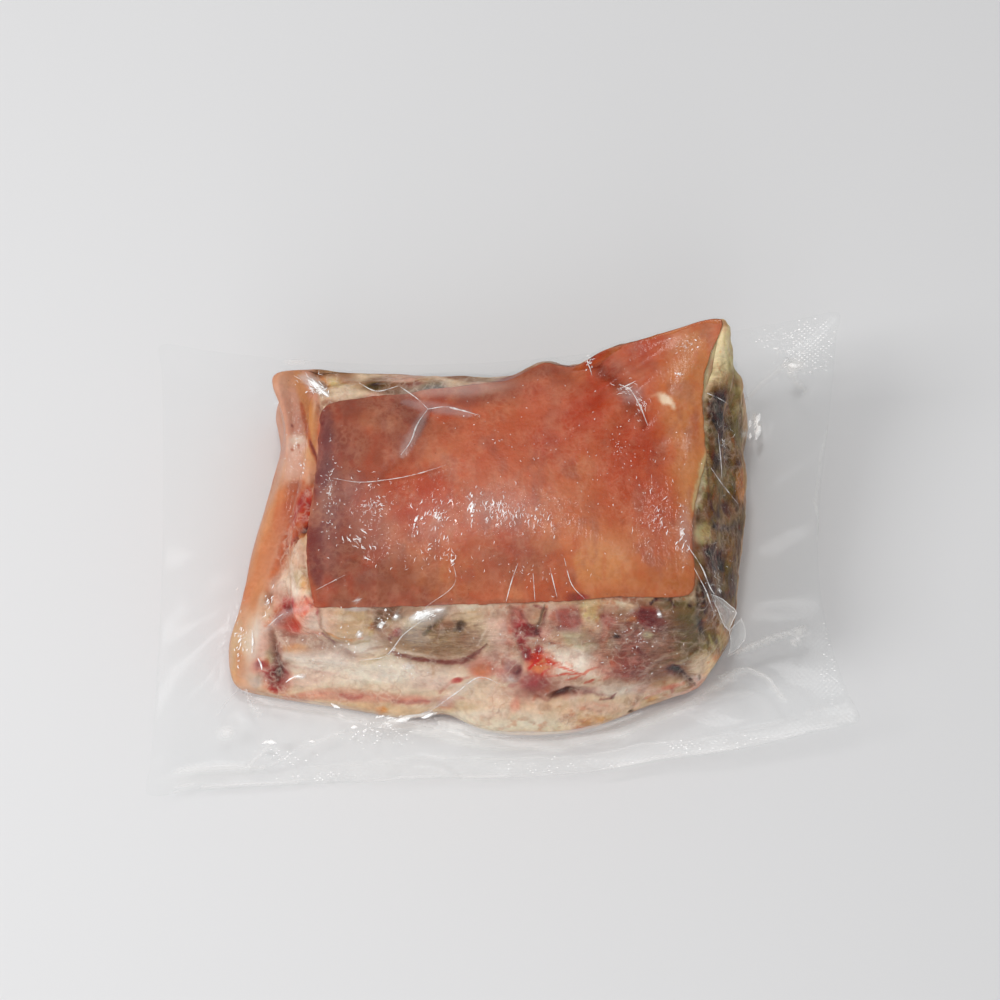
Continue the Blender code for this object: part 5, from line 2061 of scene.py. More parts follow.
RIND_RELIEF = painted(
    (-0.9, ((6, 100, 90), 586, 356, 606, 372, 628, 392, 644, 424)),
    (-0.7, ((6, 100, 90), 428, 408, 418, 430, 400, 458, 380, 478)),
    (-0.6, ((5, 100, 90), 428, 408, 450, 408, 480, 415)),
    (-0.5, ((5, 100, 90), 350, 560, 400, 580, 440, 560),
     ((4, 100, 90), 506, 602, 512, 580, 518, 563), ((4, 100, 90), 557, 597, 550, 568)),
    (0.5, (598, 398, 20, 14, 90, 0, 90)),
    (0.6, (470, 460, 40, 40, 90, 0, 90)),
)

PIT_AREAS = painted(
    (-1.8, (684, 678, 12, 5, 100, -35, 70)),
    (-1.7, (564, 696, 13, 4.2, 100, 12, 70)),
    (-1.4, (718, 557, 9, 12, 100, 20, 70)),
    (-1.2, ((3, 100), 290, 540, 300, 529, 310, 519)),
    (-1, (276, 680, 9, 12, 100, 0, 70)),
    (-0.8, (379, 624, 7, 9, 100, 0, 70)),
    (-0.6, (461, 627, 6, 6, 100, 0, 70)),
)


@dataclass
class FilmBag:
    """The clear bag: one film over the block and a margin of two films round it."""

    form: PackForm
    viewpoint: Viewpoint
    effects: SharedEffects
    row_gap: float = 1.5
    side_columns: tuple[int, ...] = (220, 110, 120, 110)

    def build(self) -> bpy.types.Object:
        """Make the bag and return it."""
        form = self.form
        pair = np.array((0.0, 0.0, form.film_pair))
        under = [form.underside(share) for share in (0.08, 0.5, 0.85, 1.0)]
        under.append(form.margin(0.02) - 3.0 * pair)
        under += [form.margin(share) - pair for share in (0.2, 0.45, 0.7, 0.9, 1.0)]
        over = [form.margin(share) for share in (1.0, 0.9, 0.7, 0.45, 0.2)]
        over += form.lower_side() + form.upper_side()[1:] + form.top_rings()
        low_gaps = [8.0, 8.0, 4.0] + [self.row_gap * 1.5] * 6
        high_gaps = [self.row_gap] * (len(over) - 1)
        low = form.sheet(under, low_gaps, self.side_columns)
        high = form.sheet(over, high_gaps, self.side_columns)
        low.rows = self._raised(low, self._relief(low, False))
        high.rows = self._raised(high, self._relief(high, True))
        rows = np.concatenate((low.rows, high.rows))
        sheet = RingSheet(rows, np.arange(len(rows)), low.marks, low.turns)
        mesh = sheet.mesh("film")
        add_colour(mesh, "kind", self._masks(sheet, len(low.rows)))
        piece = add_object("film", mesh)
        piece.data.materials.append(FilmFinish().material(self.effects))
        return piece

    def _relief(self, sheet: RingSheet, upper: bool) -> np.ndarray:
        """Return how far folds raise the film upwards at each point.

        Args:
            sheet: the film's upper or lower part.
            upper: whether it is the upper part.

        Returns:
            Heights in millimetres.
        """
        painter = Painter(sheet, self.viewpoint, wander=1.2)
        points = sheet.points()
        flat = self._margin_share(points)
        total = painter.summed(MARGIN_FOLDS) * flat
        if upper:
            total += painter.height(BLOCK_FOLDS) * (1.0 - flat)
        total += flat * 0.25 * Grain(51).layered(points, 24.0)
        return total

    def _raised(self, sheet: RingSheet, lift: np.ndarray) -> np.ndarray:
        """Return a sheet's rings with the margin's points raised."""
        rows = sheet.rows.copy()
        rows[:, :, 2] += lift.reshape(rows.shape[:2])
        rows[:, :, 2] = np.maximum(rows[:, :, 2], 0.0)
        return rows

    def _margin_share(self, points: np.ndarray) -> np.ndarray:
        """Return 1 out in the margin and 0 on the block."""
        shift = np.array((*self.form.centre, 0.0))
        foot = fine_columns(self.form.foot.ring(), (40, 40, 40, 40)) + shift
        middle = foot.mean(axis=0)
        angle = np.arctan2(points[:, 1] - middle[1], points[:, 0] - middle[0])
        reach = np.hypot(points[:, 0] - middle[0], points[:, 1] - middle[1])
        angles = np.arctan2(foot[:, 1] - middle[1], foot[:, 0] - middle[0])
        radii = np.hypot(foot[:, 0] - middle[0], foot[:, 1] - middle[1])
        order = np.argsort(angles)
        limit = np.interp(angle, angles[order], radii[order], period=2.0 * math.pi)
        return smooth_step(1.0, 7.0, reach - limit)

    def _masks(self, sheet: RingSheet, low_rows: int) -> np.ndarray:
        """Return the shares of embossing, of haze with painted glare, and of tight creased film.

        Args:
            sheet: the whole film.
            low_rows: number of its rows that belong to the lower film.

        Returns:
            Three shares for each point.
        """
        points = sheet.points()
        painter = Painter(sheet, self.viewpoint, wander=1.0)
        margin = self._margin_share(points)
        lower = np.arange(len(points)) // len(sheet.turns) < low_rows
        # Haze of creased film, with painted glare from the same table.
        haze = np.where(lower, 0.0, painter.largest(FILM_HAZE_AND_GLARE)) + 0.012 * margin
        emboss = (0.12 + 0.88 * painter.largest(EMBOSSED_AREAS)) * margin
        emboss *= np.where(lower, 0.3, 1.0)
        tight = (painter.cover(TIGHT_AREAS) + 0.1) * (1.0 - margin)
        return np.stack((emboss, haze, tight), axis=1)


MARGIN_FOLDS = painted(
    (0.5, ((3, 90), 176, 769, 248, 767, 300, 763, 357, 758),
     ((3, 90), 480, 761, 569, 758, 615, 752, 643, 744, 692, 742, 735, 731),
     ((3, 90), 735, 731, 790, 718, 854, 701)),
    (1.2, ((6, 90), 618, 722, 660, 710, 700, 702, 756, 690),
     ((3.5, 90), 330, 764, 356, 748, 380, 738), ((4, 90), 232, 408, 246, 398, 262, 390),
     ((4, 90), 228, 446, 246, 444, 262, 438), ((3.5, 90), 240, 420, 258, 424)),
    (1.3, ((3.5, 90), 248, 768, 262, 752, 276, 740), ((3.5, 90), 276, 768, 292, 752, 312, 738),
     ((3.5, 90), 300, 768, 322, 750, 348, 734)),
    (1.4, (226, 734, 8, 10, 90, 0, 80), ((4, 90), 396, 730, 420, 722, 446, 726, 470, 738),
     ((12, 90), 392, 786, 420, 772, 452, 778)),
    (1.6, ((4, 90), 700, 686, 725, 674, 748, 668, 768, 677, 783, 698),
     ((4, 90), 748, 404, 768, 396, 783, 392, 802, 388), (757, 425, 8, 12, 90, 0, 80)),
    (1.8, ((4, 90), 785, 363, 778, 354, 768, 350), ((4, 90), 250, 690, 236, 704, 216, 716),
     ((3.5, 90), 248, 700, 262, 716)),
    (2, ((4, 90), 785, 363, 796, 380, 806, 392), (792, 364, 8, 7, 90, 0, 80)),
    (2.2, ((4, 90), 722, 658, 750, 646, 775, 637, 803, 628)),
    (2.4, ((4.5, 90), 785, 363, 768, 380, 748, 398)),
)

BLOCK_FOLDS = painted(
    (0.8, ((2.6, 90), 427, 408, 420, 401, 399, 386),
     ((2.6, 90), 427, 408, 446, 407, 460, 410, 480, 414),
     ((2.6, 90), 427, 408, 417, 425, 411, 441, 401, 455),
     ((2.4, 90), 333, 478, 357, 481, 385, 480, 413, 475, 446, 465)),
    (0.9, ((3, 90), 506, 602, 512, 580, 518, 563), ((3, 90), 535, 601, 533, 573),
     ((3, 90), 557, 597, 550, 568), ((3, 90), 564, 558, 574, 588, 585, 599)),
    (1, ((4, 90), 392, 651, 404, 634, 434, 613),
     ((3.5, 90), 425, 714, 456, 693, 482, 677, 500, 684)),
)

# Milky haze of creased film, with patches and lines of it laid as painted glare on the face and
# along the block's foot.
FILM_HAZE_AND_GLARE = painted(
    (1, (503, 510, 30, 18, 6, 0, 70), (472, 510, 8, 16, 6, 0, 70), (436, 520, 20, 20, 4, 0, 80),
     (455, 388, 50, 7, 16, 4, 70),
     ((7, 9), 180, 778, 300, 776, 400, 770, 500, 768, 560, 766, 650, 752, 740, 742, 855, 712),
     ((1, 30), 156, 794, 250, 790, 350, 784, 440, 775, 520, 777, 600, 772, 650, 759, 740, 749,
      854, 721),
     ((1, 22), 834, 320, 840, 360, 838, 400, 822, 450, 815, 500, 822, 560, 836, 620, 855, 716),
     ((1.2, 16), 180, 768, 300, 768, 380, 762, 440, 756, 520, 760, 590, 757, 643, 744, 700, 740,
      760, 728, 855, 701),
     ((4, 35), 440, 722, 480, 731, 520, 735, 560, 733, 600, 727, 640, 714),
     ((6, 30), 252, 700, 320, 708, 400, 724, 480, 742, 560, 744, 620, 732, 690, 704, 740, 670),
     (372, 520, 22, 34, 4, 40, 80), (352, 488, 10, 12, 5, 0, 70), (330, 500, 10, 60, 5, 0, 80),
     (684, 530, 6, 22, 12, 0, 80), (426, 618, 20, 7, 30, 25, 70), (412, 632, 10, 16, 16, 50, 70),
     (340, 655, 50, 20, 5, 0, 80), (480, 690, 60, 14, 6, 10, 80), (250, 650, 14, 40, 6, 0, 80),
     ((2.6, 60), 735, 652, 765, 641, 790, 633, 803, 627), ((2.6, 50), 792, 646, 800, 634, 805, 626),
     ((2, 30), 720, 676, 746, 668, 766, 677, 782, 697), ((2.4, 25), 785, 363, 768, 380, 748, 398),
     ((2.4, 25), 785, 363, 796, 380, 806, 392), (794, 365, 8, 6, 75, 0, 50),
     (757, 422, 2, 9, 50, 20, 50), (745, 434, 4, 3, 40, 0, 50), (631, 394, 10, 8, 16, 0, 70),
     ((5, 14), 404, 402, 424, 406, 470, 414), ((5, 16), 426, 410, 416, 430, 402, 456),
     ((5, 30), 300, 377, 312, 382, 326, 394), ((1.6, 70), 310, 380, 320, 388, 328, 396),
     (296, 362, 10, 3, 40, 0, 70), (423, 615, 14, 4, 80, 22, 40), (438, 610, 7, 2, 60, 10, 40),
     (396, 616, 3, 2, 80, 0, 40), (381, 626, 3, 2, 80, 0, 40), (359, 634, 3, 3, 70, 0, 40),
     (357, 600, 3, 2, 50, 0, 40), (408, 666, 5, 3, 40, 0, 50), (659, 614, 3, 2, 80, 0, 40),
     (299, 677, 6, 2, 60, 0, 40), ((2, 75), 385, 722, 412, 716, 436, 713),
     ((5, 22), 428, 715, 450, 698, 478, 679), ((1.6, 30), 245, 690, 252, 704, 262, 716),
     ((3, 16), 262, 632, 284, 613, 308, 608), (314, 700, 40, 3, 10, -6, 70),
     ((3, 35), 172, 769, 230, 768, 262, 767), ((1.6, 30), 172, 786, 231, 786, 300, 782),
     (212, 778, 46, 9, 16, 2, 50), ((1.6, 25), 248, 766, 262, 752, 272, 744),
     ((1.6, 20), 270, 766, 300, 748, 344, 732), (226, 733, 7, 6, 35, 0, 80),
     ((2.4, 14), 623, 719, 660, 709, 700, 701, 755, 690),
     ((2.4, 30), 460, 776, 530, 780, 590, 773, 660, 757), ((2, 20), 660, 757, 745, 744, 857, 716)),
)

EMBOSSED_AREAS = painted(
    (1, ((13, 55), 300, 776, 420, 768, 530, 772, 643, 752, 743, 744, 856, 714),
     ((18, 35), 590, 742, 660, 724, 720, 716), (815, 335, 26, 20, 100, 0, 50),
     (775, 335, 22, 12, 70, 0, 60), (822, 660, 30, 60, 30, 10, 50), (828, 420, 10, 70, 30, 0, 60),
     (200, 776, 50, 12, 30, 0, 60)),
)

TIGHT_AREAS = painted(
    (1, (494, 510, 66, 24, 100, 0, 60), (410, 530, 46, 40, 70, 0, 70),
     (360, 500, 34, 20, 50, 0, 70), (480, 575, 60, 22, 35, 0, 70), (660, 530, 20, 40, 60, 0, 70),
     (683, 535, 10, 30, 80, 0, 70), (400, 650, 180, 60, 60, 0, 40), (620, 650, 110, 60, 60, 0, 40),
     (290, 500, 14, 120, 50, 0, 50)),
)


def path_marks(*rows: tuple[float, ...]) -> tuple[PathMark, ...]:
    """Return half widths with paths, from rows of a half width and places in turn."""
    return tuple((row[0], tuple(zip(row[1::2], row[2::2]))) for row in rows)


PLEAT_PATHS = path_marks(
    (0.34, 428, 409, 420, 401, 399, 386), (0.3, 399, 386, 375, 391, 359, 383),
    (0.36, 428, 409, 446, 407, 460, 410, 478, 415), (0.38, 428, 409, 417, 425, 411, 441, 401, 455),
    (0.26, 333, 478, 357, 482, 385, 480, 413, 475, 446, 465),
    (0.36, 619, 384, 630, 390, 638, 402, 648, 426), (0.26, 619, 389, 628, 385, 636, 381),
    (0.26, 586, 360, 590, 368, 592, 376), (0.26, 707, 393, 725, 402, 743, 421),
    (0.3, 711, 468, 722, 484, 738, 504), (0.16, 718, 433, 721, 463, 722, 480),
    (0.34, 687, 545, 702, 568, 712, 591, 725, 606, 736, 614, 745, 629, 743, 640),
    (0.28, 694, 568, 705, 589, 717, 617, 730, 629, 744, 632), (0.26, 743, 640, 736, 652, 725, 657),
    (0.24, 506, 602, 512, 580, 518, 563), (0.22, 535, 601, 533, 573), (0.24, 557, 597, 550, 568),
    (0.26, 564, 558, 574, 588, 585, 599), (0.18, 316, 590, 345, 575),
    (0.18, 425, 608, 456, 578, 453, 564), (0.26, 361, 660, 385, 656, 404, 634, 420, 622, 434, 613),
    (0.3, 425, 715, 456, 693, 482, 677, 500, 684), (0.22, 267, 627, 283, 614, 309, 607, 310, 603),
    (0.24, 253, 630, 252, 653), (0.3, 735, 652, 765, 641, 790, 633, 804, 627),
    (0.26, 720, 676, 746, 668, 766, 677, 782, 697), (0.2, 241, 686, 228, 700, 217, 715),
    (0.26, 246, 686, 250, 703, 262, 716),
)


@dataclass(frozen=True)
class CreaseArea:
    """A patch of short film creases, made to glow as painted highlights: their number, lengths,
    direction, its spread and width.
    """

    across: float
    down: float
    wide: float
    high: float
    count: int
    shortest: float
    longest: float
    turn: float
    spread: float
    width: float

    def paths(self, seed: int) -> list[PathMark]:
        """Return the half width and the path of each crease.

        Args:
            seed: number that fixes where they fall.

        Returns:
            Half widths in millimetres with paths in the frame.
        """
        chance = np.random.default_rng(seed)
        found = []
        for _ in range(self.count):
            way, far = chance.uniform(0.0, 2.0 * math.pi), min(0.62 * abs(chance.normal()), 1.6)
            across = self.across + self.wide * far * math.cos(way)
            down = self.down + self.high * far * math.sin(way)
            turn = math.radians(self.turn + self.spread * chance.normal())
            length = chance.uniform(self.shortest, self.longest) * chance.uniform(0.5, 1.0)
            bend = 0.22 * length * chance.normal()
            along = np.array((math.cos(turn), -math.sin(turn)))
            aside = np.array((along[1], -along[0]))
            middle = np.array((across, down))
            points = [
                middle + along * length * (part - 0.5) + aside * bend * math.sin(math.pi * part)
                for part in (0.0, 0.33, 0.67, 1.0)
            ]
            width = self.width * chance.uniform(0.5, 1.3)
            found.append((width, tuple((float(x), float(y)) for x, y in points)))
        return found


def _ground_of(film: bpy.types.Object) -> BVHTree:
    """Return the bag's surface in a form that lines of sight can be tried against."""
    vertices = [vertex.co.copy() for vertex in film.data.vertices]
    return BVHTree.FromPolygons(vertices, [tuple(face.vertices) for face in film.data.polygons])


@dataclass(frozen=True)
class DotField:
    """Glowing dots, painted highlights of stamped dots: a lattice of them round a place in the
    frame.
    """

    across: float
    down: float
    wide: float
    high: float
    share: float
    size: float
    pitch: tuple[float, float] = (5.4, 4.4)

    def paths(self, seed: int) -> list[PathMark]:
        """Return each bright dot as a very short path."""
        chance = np.random.default_rng(seed)
        columns, rows = int(self.wide / self.pitch[0]), int(self.high / self.pitch[1])
        found = []
        for row in range(-2 * rows, 2 * rows + 1):
            for column in range(-columns, columns + 1):
                across = (column + 0.5 * (row % 2)) * self.pitch[0]
                down = row * self.pitch[1] / 2.0 - 0.12 * across
                far = math.hypot(across / self.wide, down / self.high)
                if far > 1.0 or chance.uniform() > self.share * (1.2 - far):
                    continue
                x, y = self.across + across, self.down + down
                width = self.size * chance.uniform(0.4, 1.2)
                found.append((width, ((x - 1.0, y), (x, y - 0.2), (x + 1.0, y))))
        return found


STAMPED_DOT_GLINTS = tuple(
    DotField(*row)
    for row in (
        (810, 346, 28, 30, 1, 0.34), (770, 338, 26, 10, 0.6, 0.26), (684, 747, 24, 9, 0.8, 0.36),
        (740, 745, 90, 10, 0.3, 0.24), (560, 765, 90, 9, 0.35, 0.26), (320, 778, 50, 7, 0.6, 0.36),
        (282, 757, 36, 10, 0.5, 0.34), (380, 738, 50, 14, 0.35, 0.34), (832, 660, 14, 50, 0.5, 0.2),
    )
)

BRIGHT_BLOBS = path_marks(
    (0.9, 262, 744, 270, 742, 276, 743), (0.8, 308, 742, 312, 741, 315, 742),
    (1.6, 278, 789, 284, 787, 289, 786), (0.9, 250, 791, 253, 791, 256, 790),
    (0.8, 268, 791, 271, 790, 274, 789), (0.8, 301, 788, 304, 787, 307, 786),
    (0.7, 320, 788, 325, 787, 330, 787), (0.8, 350, 785, 354, 784, 358, 783),
    (1.0, 396, 721, 403, 720, 410, 718), (1.0, 421, 718, 427, 716, 433, 713),
    (0.6, 331, 703, 335, 706, 340, 708), (0.7, 351, 728, 354, 727, 357, 727),
    (1.1, 788, 365, 794, 366, 800, 366), (1.0, 756, 440, 758, 433, 760, 426),
    (0.9, 757, 424, 758, 419, 760, 414), (0.7, 749, 428, 750, 424, 750, 420),
    (0.7, 749, 440, 750, 437, 750, 433), (0.6, 779, 348, 776, 349, 773, 348),
    (1.2, 416, 618, 423, 615, 430, 612), (0.9, 432, 611, 438, 610, 443, 609),
    (0.8, 394, 617, 396, 616, 398, 616), (0.8, 379, 627, 381, 626, 383, 626),
    (0.8, 358, 635, 360, 634, 361, 633), (0.7, 657, 614, 659, 614, 661, 614),
    (0.6, 293, 677, 298, 676, 303, 677), (0.5, 286, 682, 290, 679, 294, 677),
    (0.4, 252, 630, 253, 642, 252, 653), (0.5, 258, 658, 261, 664, 262, 670),
    (0.5, 318, 388, 323, 392, 329, 397), (0.4, 308, 380, 315, 384, 321, 389),
)

GLINT_AREAS = tuple(
    CreaseArea(*row)
    for row in (
        (500, 512, 22, 20, 80, 2, 8, 90, 16, 0.17), (472, 508, 5, 22, 34, 2, 7, 80, 16, 0.24),
        (530, 515, 30, 16, 50, 2, 8, 85, 14, 0.14), (437, 516, 18, 22, 60, 2, 8, 65, 20, 0.19),
        (416, 520, 4, 14, 20, 2, 7, 75, 14, 0.26), (372, 505, 22, 34, 90, 1.5, 7, 60, 60, 0.14),
        (358, 542, 14, 12, 24, 3, 10, -42, 12, 0.2), (330, 490, 14, 72, 120, 1, 3.5, 90, 60, 0.13),
        (430, 550, 60, 26, 50, 1.5, 7, 80, 40, 0.11), (452, 562, 5, 12, 18, 2, 7, 70, 20, 0.2),
        (520, 572, 80, 26, 40, 1, 5, 85, 30, 0.1), (658, 512, 22, 46, 50, 1.5, 8, 70, 20, 0.13),
        (682, 532, 6, 30, 34, 2, 9, 72, 18, 0.22), (620, 450, 74, 110, 110, 0.8, 2.4, 90, 60, 0.15),
        (500, 440, 90, 60, 50, 0.8, 2.4, 90, 60, 0.13), (626, 389, 12, 7, 22, 2, 8, -15, 24, 0.1),
        (640, 405, 7, 18, 34, 2, 8, -55, 16, 0.11), (684, 347, 14, 7, 24, 1.5, 6, 20, 40, 0.24),
        (680, 375, 5, 4, 10, 1.5, 5, 40, 40, 0.24), (590, 362, 6, 9, 16, 2, 6, 60, 50, 0.16),
        (382, 622, 6, 8, 12, 1, 4, 20, 50, 0.4), (423, 615, 12, 5, 34, 4, 10, 25, 12, 0.42),
        (345, 636, 20, 18, 14, 1, 3.5, 20, 60, 0.3),
        (400, 655, 130, 44, 70, 0.8, 3.5, 20, 60, 0.14),
        (640, 640, 70, 44, 90, 0.8, 4, 40, 60, 0.13), (540, 650, 40, 40, 40, 0.8, 4, 40, 60, 0.13),
        (301, 466, 6, 9, 14, 1, 4, 60, 60, 0.24), (296, 440, 12, 60, 24, 0.8, 3, 60, 60, 0.16),
        (240, 640, 7, 44, 44, 1.5, 6, 65, 20, 0.2), (268, 600, 6, 10, 16, 3, 8, 60, 14, 0.22),
        (724, 445, 9, 28, 34, 1.5, 7, 82, 40, 0.07), (720, 590, 14, 60, 50, 1, 8, -50, 40, 0.1),
        (319, 390, 8, 6, 34, 2, 7, -20, 30, 0.3), (312, 384, 14, 8, 26, 6, 14, -42, 8, 0.16),
        (390, 718, 24, 5, 24, 2, 7, 14, 12, 0.26), (372, 728, 26, 7, 30, 1.5, 6, 20, 30, 0.2),
        (757, 424, 4, 11, 20, 2, 6, 70, 20, 0.3), (790, 350, 30, 26, 50, 1, 6, 40, 50, 0.2),
    )
)


@dataclass
class SharpPleats:
    """Narrow folds of the film, each a thin bead along a path on the bag."""

    viewpoint: Viewpoint
    sides: int = 5
    longest_step: float = 7.0

    def _tree(self, material: bpy.types.Material) -> bpy.types.NodeTree:
        """Build the node tree that sweeps each path into a tapered bead."""
        tree = bpy.data.node_groups.new("pleat_along_path", "GeometryNodeTree")
        kinds = (("Paths", "NodeSocketGeometry"), ("Width", "NodeSocketFloat"))
        for name, kind in kinds:
            tree.interface.new_socket(name, in_out="INPUT", socket_type=kind)
        tree.interface.new_socket("Pleats", in_out="OUTPUT", socket_type="NodeSocketGeometry")
        nodes = NodeTree(tree)
        given, result = nodes.add("NodeGroupInput").outputs, nodes.add("NodeGroupOutput").inputs
        circle = {"Resolution": self.sides, "Radius": given["Width"]}
        section = nodes.add("GeometryNodeCurvePrimitiveCircle", circle).outputs["Curve"]
        swept = {"Curve": given["Paths"], "Profile Curve": section, "Fill Caps": True}
        sweep = nodes.add("GeometryNodeCurveToMesh", swept)
        if "Scale" in sweep.inputs:
            nodes.feed(sweep.inputs["Scale"], nodes.add("GeometryNodeInputRadius").outputs[0])
        smooth = nodes.add("GeometryNodeSetShadeSmooth", {"Geometry": sweep.outputs[0]})
        real = nodes.add("GeometryNodeRealizeInstances", {0: smooth.outputs[0]})
        dressed = {"Geometry": real.outputs[0], "Material": material}
        nodes.feed(result[0], nodes.add("GeometryNodeSetMaterial", dressed).outputs[0])
        return tree

    def build(self, film: bpy.types.Object) -> tuple[bpy.types.Object, bpy.types.Object]:
        """Lay the pleats, and the small creases that glow as painted highlights, on the bag.

        Args:
            film: the finished bag.

        Returns:
            One piece with every pleat and one with every small glowing crease.
        """
        ground = _ground_of(film)
        areas = GLINT_AREAS + STAMPED_DOT_GLINTS
        glints = [found for seed, area in enumerate(areas) for found in area.paths(seed)]
        glints += BRIGHT_BLOBS
        pleats = self._swept("pleats", PLEAT_PATHS, ground, PleatFinish())
        # The glints glow a little, as painted highlights.
        return pleats, self._swept("glints", glints, ground, PleatFinish("film_glint", 0.25, 0.22))

    def _swept(
        self, name: str, laid: Sequence[PathMark], ground: BVHTree, finish: PleatFinish
    ) -> bpy.types.Object:
        """Return one piece with a bead along each path.

        Args:
            name: the piece's name.
            laid: half widths in millimetres with paths in the frame.
            ground: the bag's surface.
            finish: how the beads look.

        Returns:
            The piece.
        """
        curves = bpy.data.curves.new(name + "_paths", "CURVE")
        curves.dimensions = "3D"
        for width, path in laid:
            self._add_path(curves, ground, width, path)
        paths = bpy.data.objects.new(name + "_paths", curves)
        bpy.context.scene.collection.objects.link(paths)
        tree = self._tree(finish.material())
        modifier = paths.modifiers.new("pleats", "NODES")
        modifier.node_group = tree
        sockets = {s.name: s.identifier for s in tree.interface.items_tree if s.in_out == "INPUT"}
        modifier[sockets["Width"]] = MM
        piece = self._as_mesh(paths, name)
        bpy.data.objects.remove(paths, do_unlink=True)
        return piece

    def _add_path(
        self,
        curves: bpy.types.Curve,
        ground: BVHTree,
        width: float,
        path: tuple[tuple[float, float], ...],
    ) -> None:
        """Add one smooth path that lies on the bag and thins to its ends.

        Args:
            curves: the curve data that takes it.
            ground: the bag's surface.
            width: the bead's half width, in millimetres.
            path: its places in the frame.
        """
        places = np.array(path, dtype=float)
        gaps = np.linalg.norm(np.diff(places, axis=0), axis=1)
        knots = np.concatenate(((0.0,), np.cumsum(gaps)))
        wanted = np.linspace(0.0, knots[-1], max(3, int(knots[-1] / 3.0)))
        smooth = spline(places[:, None], knots, wanted)[:, 0]
        hits = []
        for across, down in smooth:
            start, direction = self.viewpoint.sight(float(across), float(down))
            hit, normal, _, _ = ground.ray_cast(start, direction)
            if hit is None or (hits and (hit - hits[-1]).length > self.longest_step * MM):
                break
            hits.append(hit + normal * width * MM * 0.3)
        if len(hits) < 3:
            return
        line = curves.splines.new("POLY")
        line.points.add(len(hits) - 1)
        grain = Grain(61)
        for index, hit in enumerate(hits):
            share = index / (len(hits) - 1)
            uneven = 1.0 + 0.55 * float(grain.layered(np.array([hit]) / MM, 4.0, 2)[0])
            line.points[index].co = (*hit, 1.0)
            line.points[index].radius = width * uneven * (0.25 + 0.75 * math.sin(math.pi * share))

    @staticmethod
    def _as_mesh(source: bpy.types.Object, name: str) -> bpy.types.Object:
        """Return a plain mesh piece of what an object's modifiers make."""
        graph = bpy.context.evaluated_depsgraph_get()
        mesh = bpy.data.meshes.new_from_object(source.evaluated_get(graph))
        mesh.name = name
        return add_object(name, mesh)


FLAP_OUTLINES = (
    (
        (711, 594, 0.5), (717, 596, 1.5), (723, 599, 2.0), (730, 605, 2.0), (735, 609, 2.0),
        (737, 613, 2.0), (733, 621, 2.0), (729, 631, 1.5), (725, 627, 1.0), (721, 619, 1.0),
        (718, 611, 0.8), (714, 602, 0.5),
    ),
    (
        (729, 631, 1.5), (735, 624, 1.0), (741, 618, 0.0), (744, 624, -1.0), (746, 632, -2.0),
        (745, 640, -3.0), (740, 646, -3.0), (735, 651, -3.0), (728, 655, -1.0), (731, 643, 0.0),
    ),
)


@dataclass
class FilmFlaps:
    """Loose folded flaps of film that stand off the bag at its right end."""

    viewpoint: Viewpoint
    anchor: tuple[float, float] = (714.0, 602.0)
    thickness: float = 0.2
    hem: float = 0.5
    hem_haze: float = 0.6
    haze: float = 0.14

    def build(self, film: bpy.types.Object) -> bpy.types.Object:
        """Make the flaps as one piece.

        Args:
            film: the finished bag, whose material they share.

        Returns:
            The piece.
        """
        vertices, faces, hazes = [], [], []
        for outline in FLAP_OUTLINES:
            ring = self._ring(film, outline)
            middle = ring.mean(axis=0)
            inward = middle - ring
            inner = ring + inward * self.hem / np.linalg.norm(inward, axis=1)[:, None]
            count, first = len(ring), len(vertices)
            back = self.viewpoint.axes()[2] * self.thickness
            for side in range(2):
                layer = np.concatenate((ring, inner, middle[None])) + back * side
                vertices += layer.tolist()
                hazes += [self.hem_haze] * count + [self.haze] * (count + 1)
            span = 2 * count + 1
            for index in range(count):
                after = (index + 1) % count
                for side, turn in ((0, 1), (1, -1)):
                    base = first + side * span
                    hem = (base + index, base + count + index, base + count + after, base + after)
                    fan = (base + count + index, base + 2 * count, base + count + after)
                    faces += [hem[::turn], fan[::turn]]
                low, high = first + index, first + after
                faces.append((low, high, high + span, low + span))
        mesh = bpy.data.meshes.new("film_flaps")
        mesh.from_pydata((np.array(vertices) * MM).tolist(), [], faces)
        layer = mesh.attributes.new("kind", "FLOAT_COLOR", "POINT")
        for item, value in zip(layer.data, hazes):
            item.color = (0.0, value, 0.6, 1.0)
        piece = add_object("film_flaps", mesh)
        piece.data.materials.append(film.data.materials[0])
        return piece

    def _ring(
        self, film: bpy.types.Object, outline: tuple[tuple[float, float, float], ...]
    ) -> np.ndarray:
        """Return an outline's points, a little wavy, at their lifts off the anchor's plane."""
        hit, _, _, _ = _ground_of(film).ray_cast(*self.viewpoint.sight(*self.anchor))
        ahead = self.viewpoint.axes()[2]
        base = float((np.array(hit) / MM - self.viewpoint.location()) @ ahead)
        chance = np.random.default_rng(9)
        places = np.array(outline, dtype=float)
        finer = np.stack((places, 0.5 * (places + np.roll(places, -1, axis=0))), axis=1)
        found = []
        for across, down, lift in finer.reshape(-1, 3):
            start, direction = self.viewpoint.sight(across, down)
            depth = (base - lift + 0.3 * chance.normal()) / (direction @ Vector(ahead))
            found.append(np.array(start) / MM + np.array(direction) * depth)
        return np.array(found)


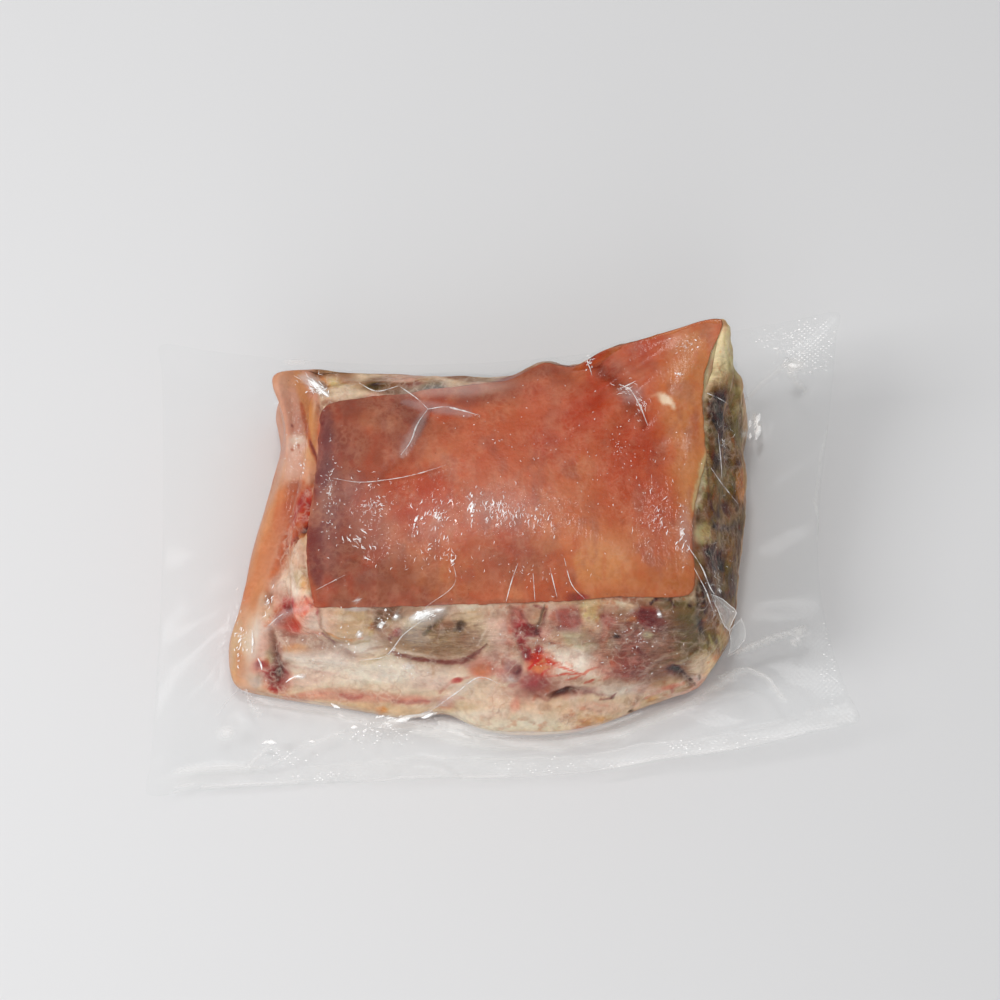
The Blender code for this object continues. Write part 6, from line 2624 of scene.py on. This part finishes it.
@dataclass(frozen=True)
class Studio:
    """A pale floor and soft light."""

    floor_size: float = 8.0
    floor_level: float = -0.0004
    floor_shade: tuple[int, int, int] = (226, 226, 227)
    sky: float = 0.45

    def build(self) -> bpy.types.Object:
        """Make the floor, the lights and the sky, and return the floor."""
        half = self.floor_size / 2
        plan = ((-half, -half), (half, -half), (half, half), (-half, half))
        mesh = bpy.data.meshes.new("floor")
        mesh.from_pydata([(x, y, self.floor_level) for x, y in plan], [], [(0, 1, 2, 3)])
        floor = add_object("floor", mesh)
        material, nodes, out = new_material("pale_floor")
        looks = {"Base Color": shade(*self.floor_shade), "Roughness": 0.7}
        nodes.feed(out, nodes.add("ShaderNodeBsdfPrincipled", looks).outputs[0])
        floor.data.materials.append(material)
        self._light("key", (-1.2, -0.2, 1.0), 0.5, 10.5, False)
        self._light("top", (-0.1, 0.4, 1.45), 0.2, 3.4, True)
        self._light("spark", (0.1, -1.45, 0.5), 0.16, 0.5, True)
        self._light("fill", (-0.1, -1.3, 0.8), 1.1, 4.6, False)
        world = bpy.data.worlds.new("soft_sky")
        world.use_nodes = True
        background = world.node_tree.nodes["Background"]
        background.inputs[0].default_value = (1.0, 1.0, 1.0, 1.0)
        background.inputs[1].default_value = self.sky
        bpy.context.scene.world = world
        bpy.context.scene.view_settings.view_transform = "Standard"
        return floor

    @staticmethod
    def _light(
        name: str, place: tuple[float, float, float], size: float, power: float, gleams: bool
    ) -> None:
        """Hang a soft square light that faces the pack.

        Args:
            name: its name.
            place: its place in metres.
            size: its side in metres.
            power: its power in watts.
            gleams: whether it shows in reflections.
        """
        data = bpy.data.lights.new(name, "AREA")
        data.size = size
        data.energy = power
        light = bpy.data.objects.new(name, data)
        light.location = place
        light.visible_glossy = gleams
        light.rotation_euler = (-Vector(place)).to_track_quat("-Z", "Y").to_euler()
        bpy.context.scene.collection.objects.link(light)


def corners(box: tuple[Vector, Vector]) -> list[list[float]]:
    """Return a box's two corners as plain lists."""
    return [[float(value) for value in corner] for corner in box]


def main() -> None:
    """Build the studio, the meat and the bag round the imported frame."""
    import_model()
    viewpoint = Viewpoint()
    viewpoint.make_camera()
    Studio().build()
    effects = SharedEffects()
    form = PackForm()
    block = MeatBlock(form, viewpoint, effects).build()
    rind = RindSheet(form, viewpoint, effects).build()
    film = FilmBag(form, viewpoint, effects).build()
    pleats, glints = SharpPleats(viewpoint).build(film)
    flaps = FilmFlaps(viewpoint).build(film)
    pieces = [(rind, "rind"), (block, "meat")]
    pieces += [(piece, "film") for piece in (film, pleats, glints, flaps)]
    for piece, slot in pieces:
        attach(piece, BODY)
        LOG.info("%s: %d faces", piece.name, len(piece.data.polygons))
    for piece, _ in pieces:
        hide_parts(NODE)


if __name__ == "__main__":
    logging.basicConfig(level=logging.INFO, format="%(message)s")
    main()
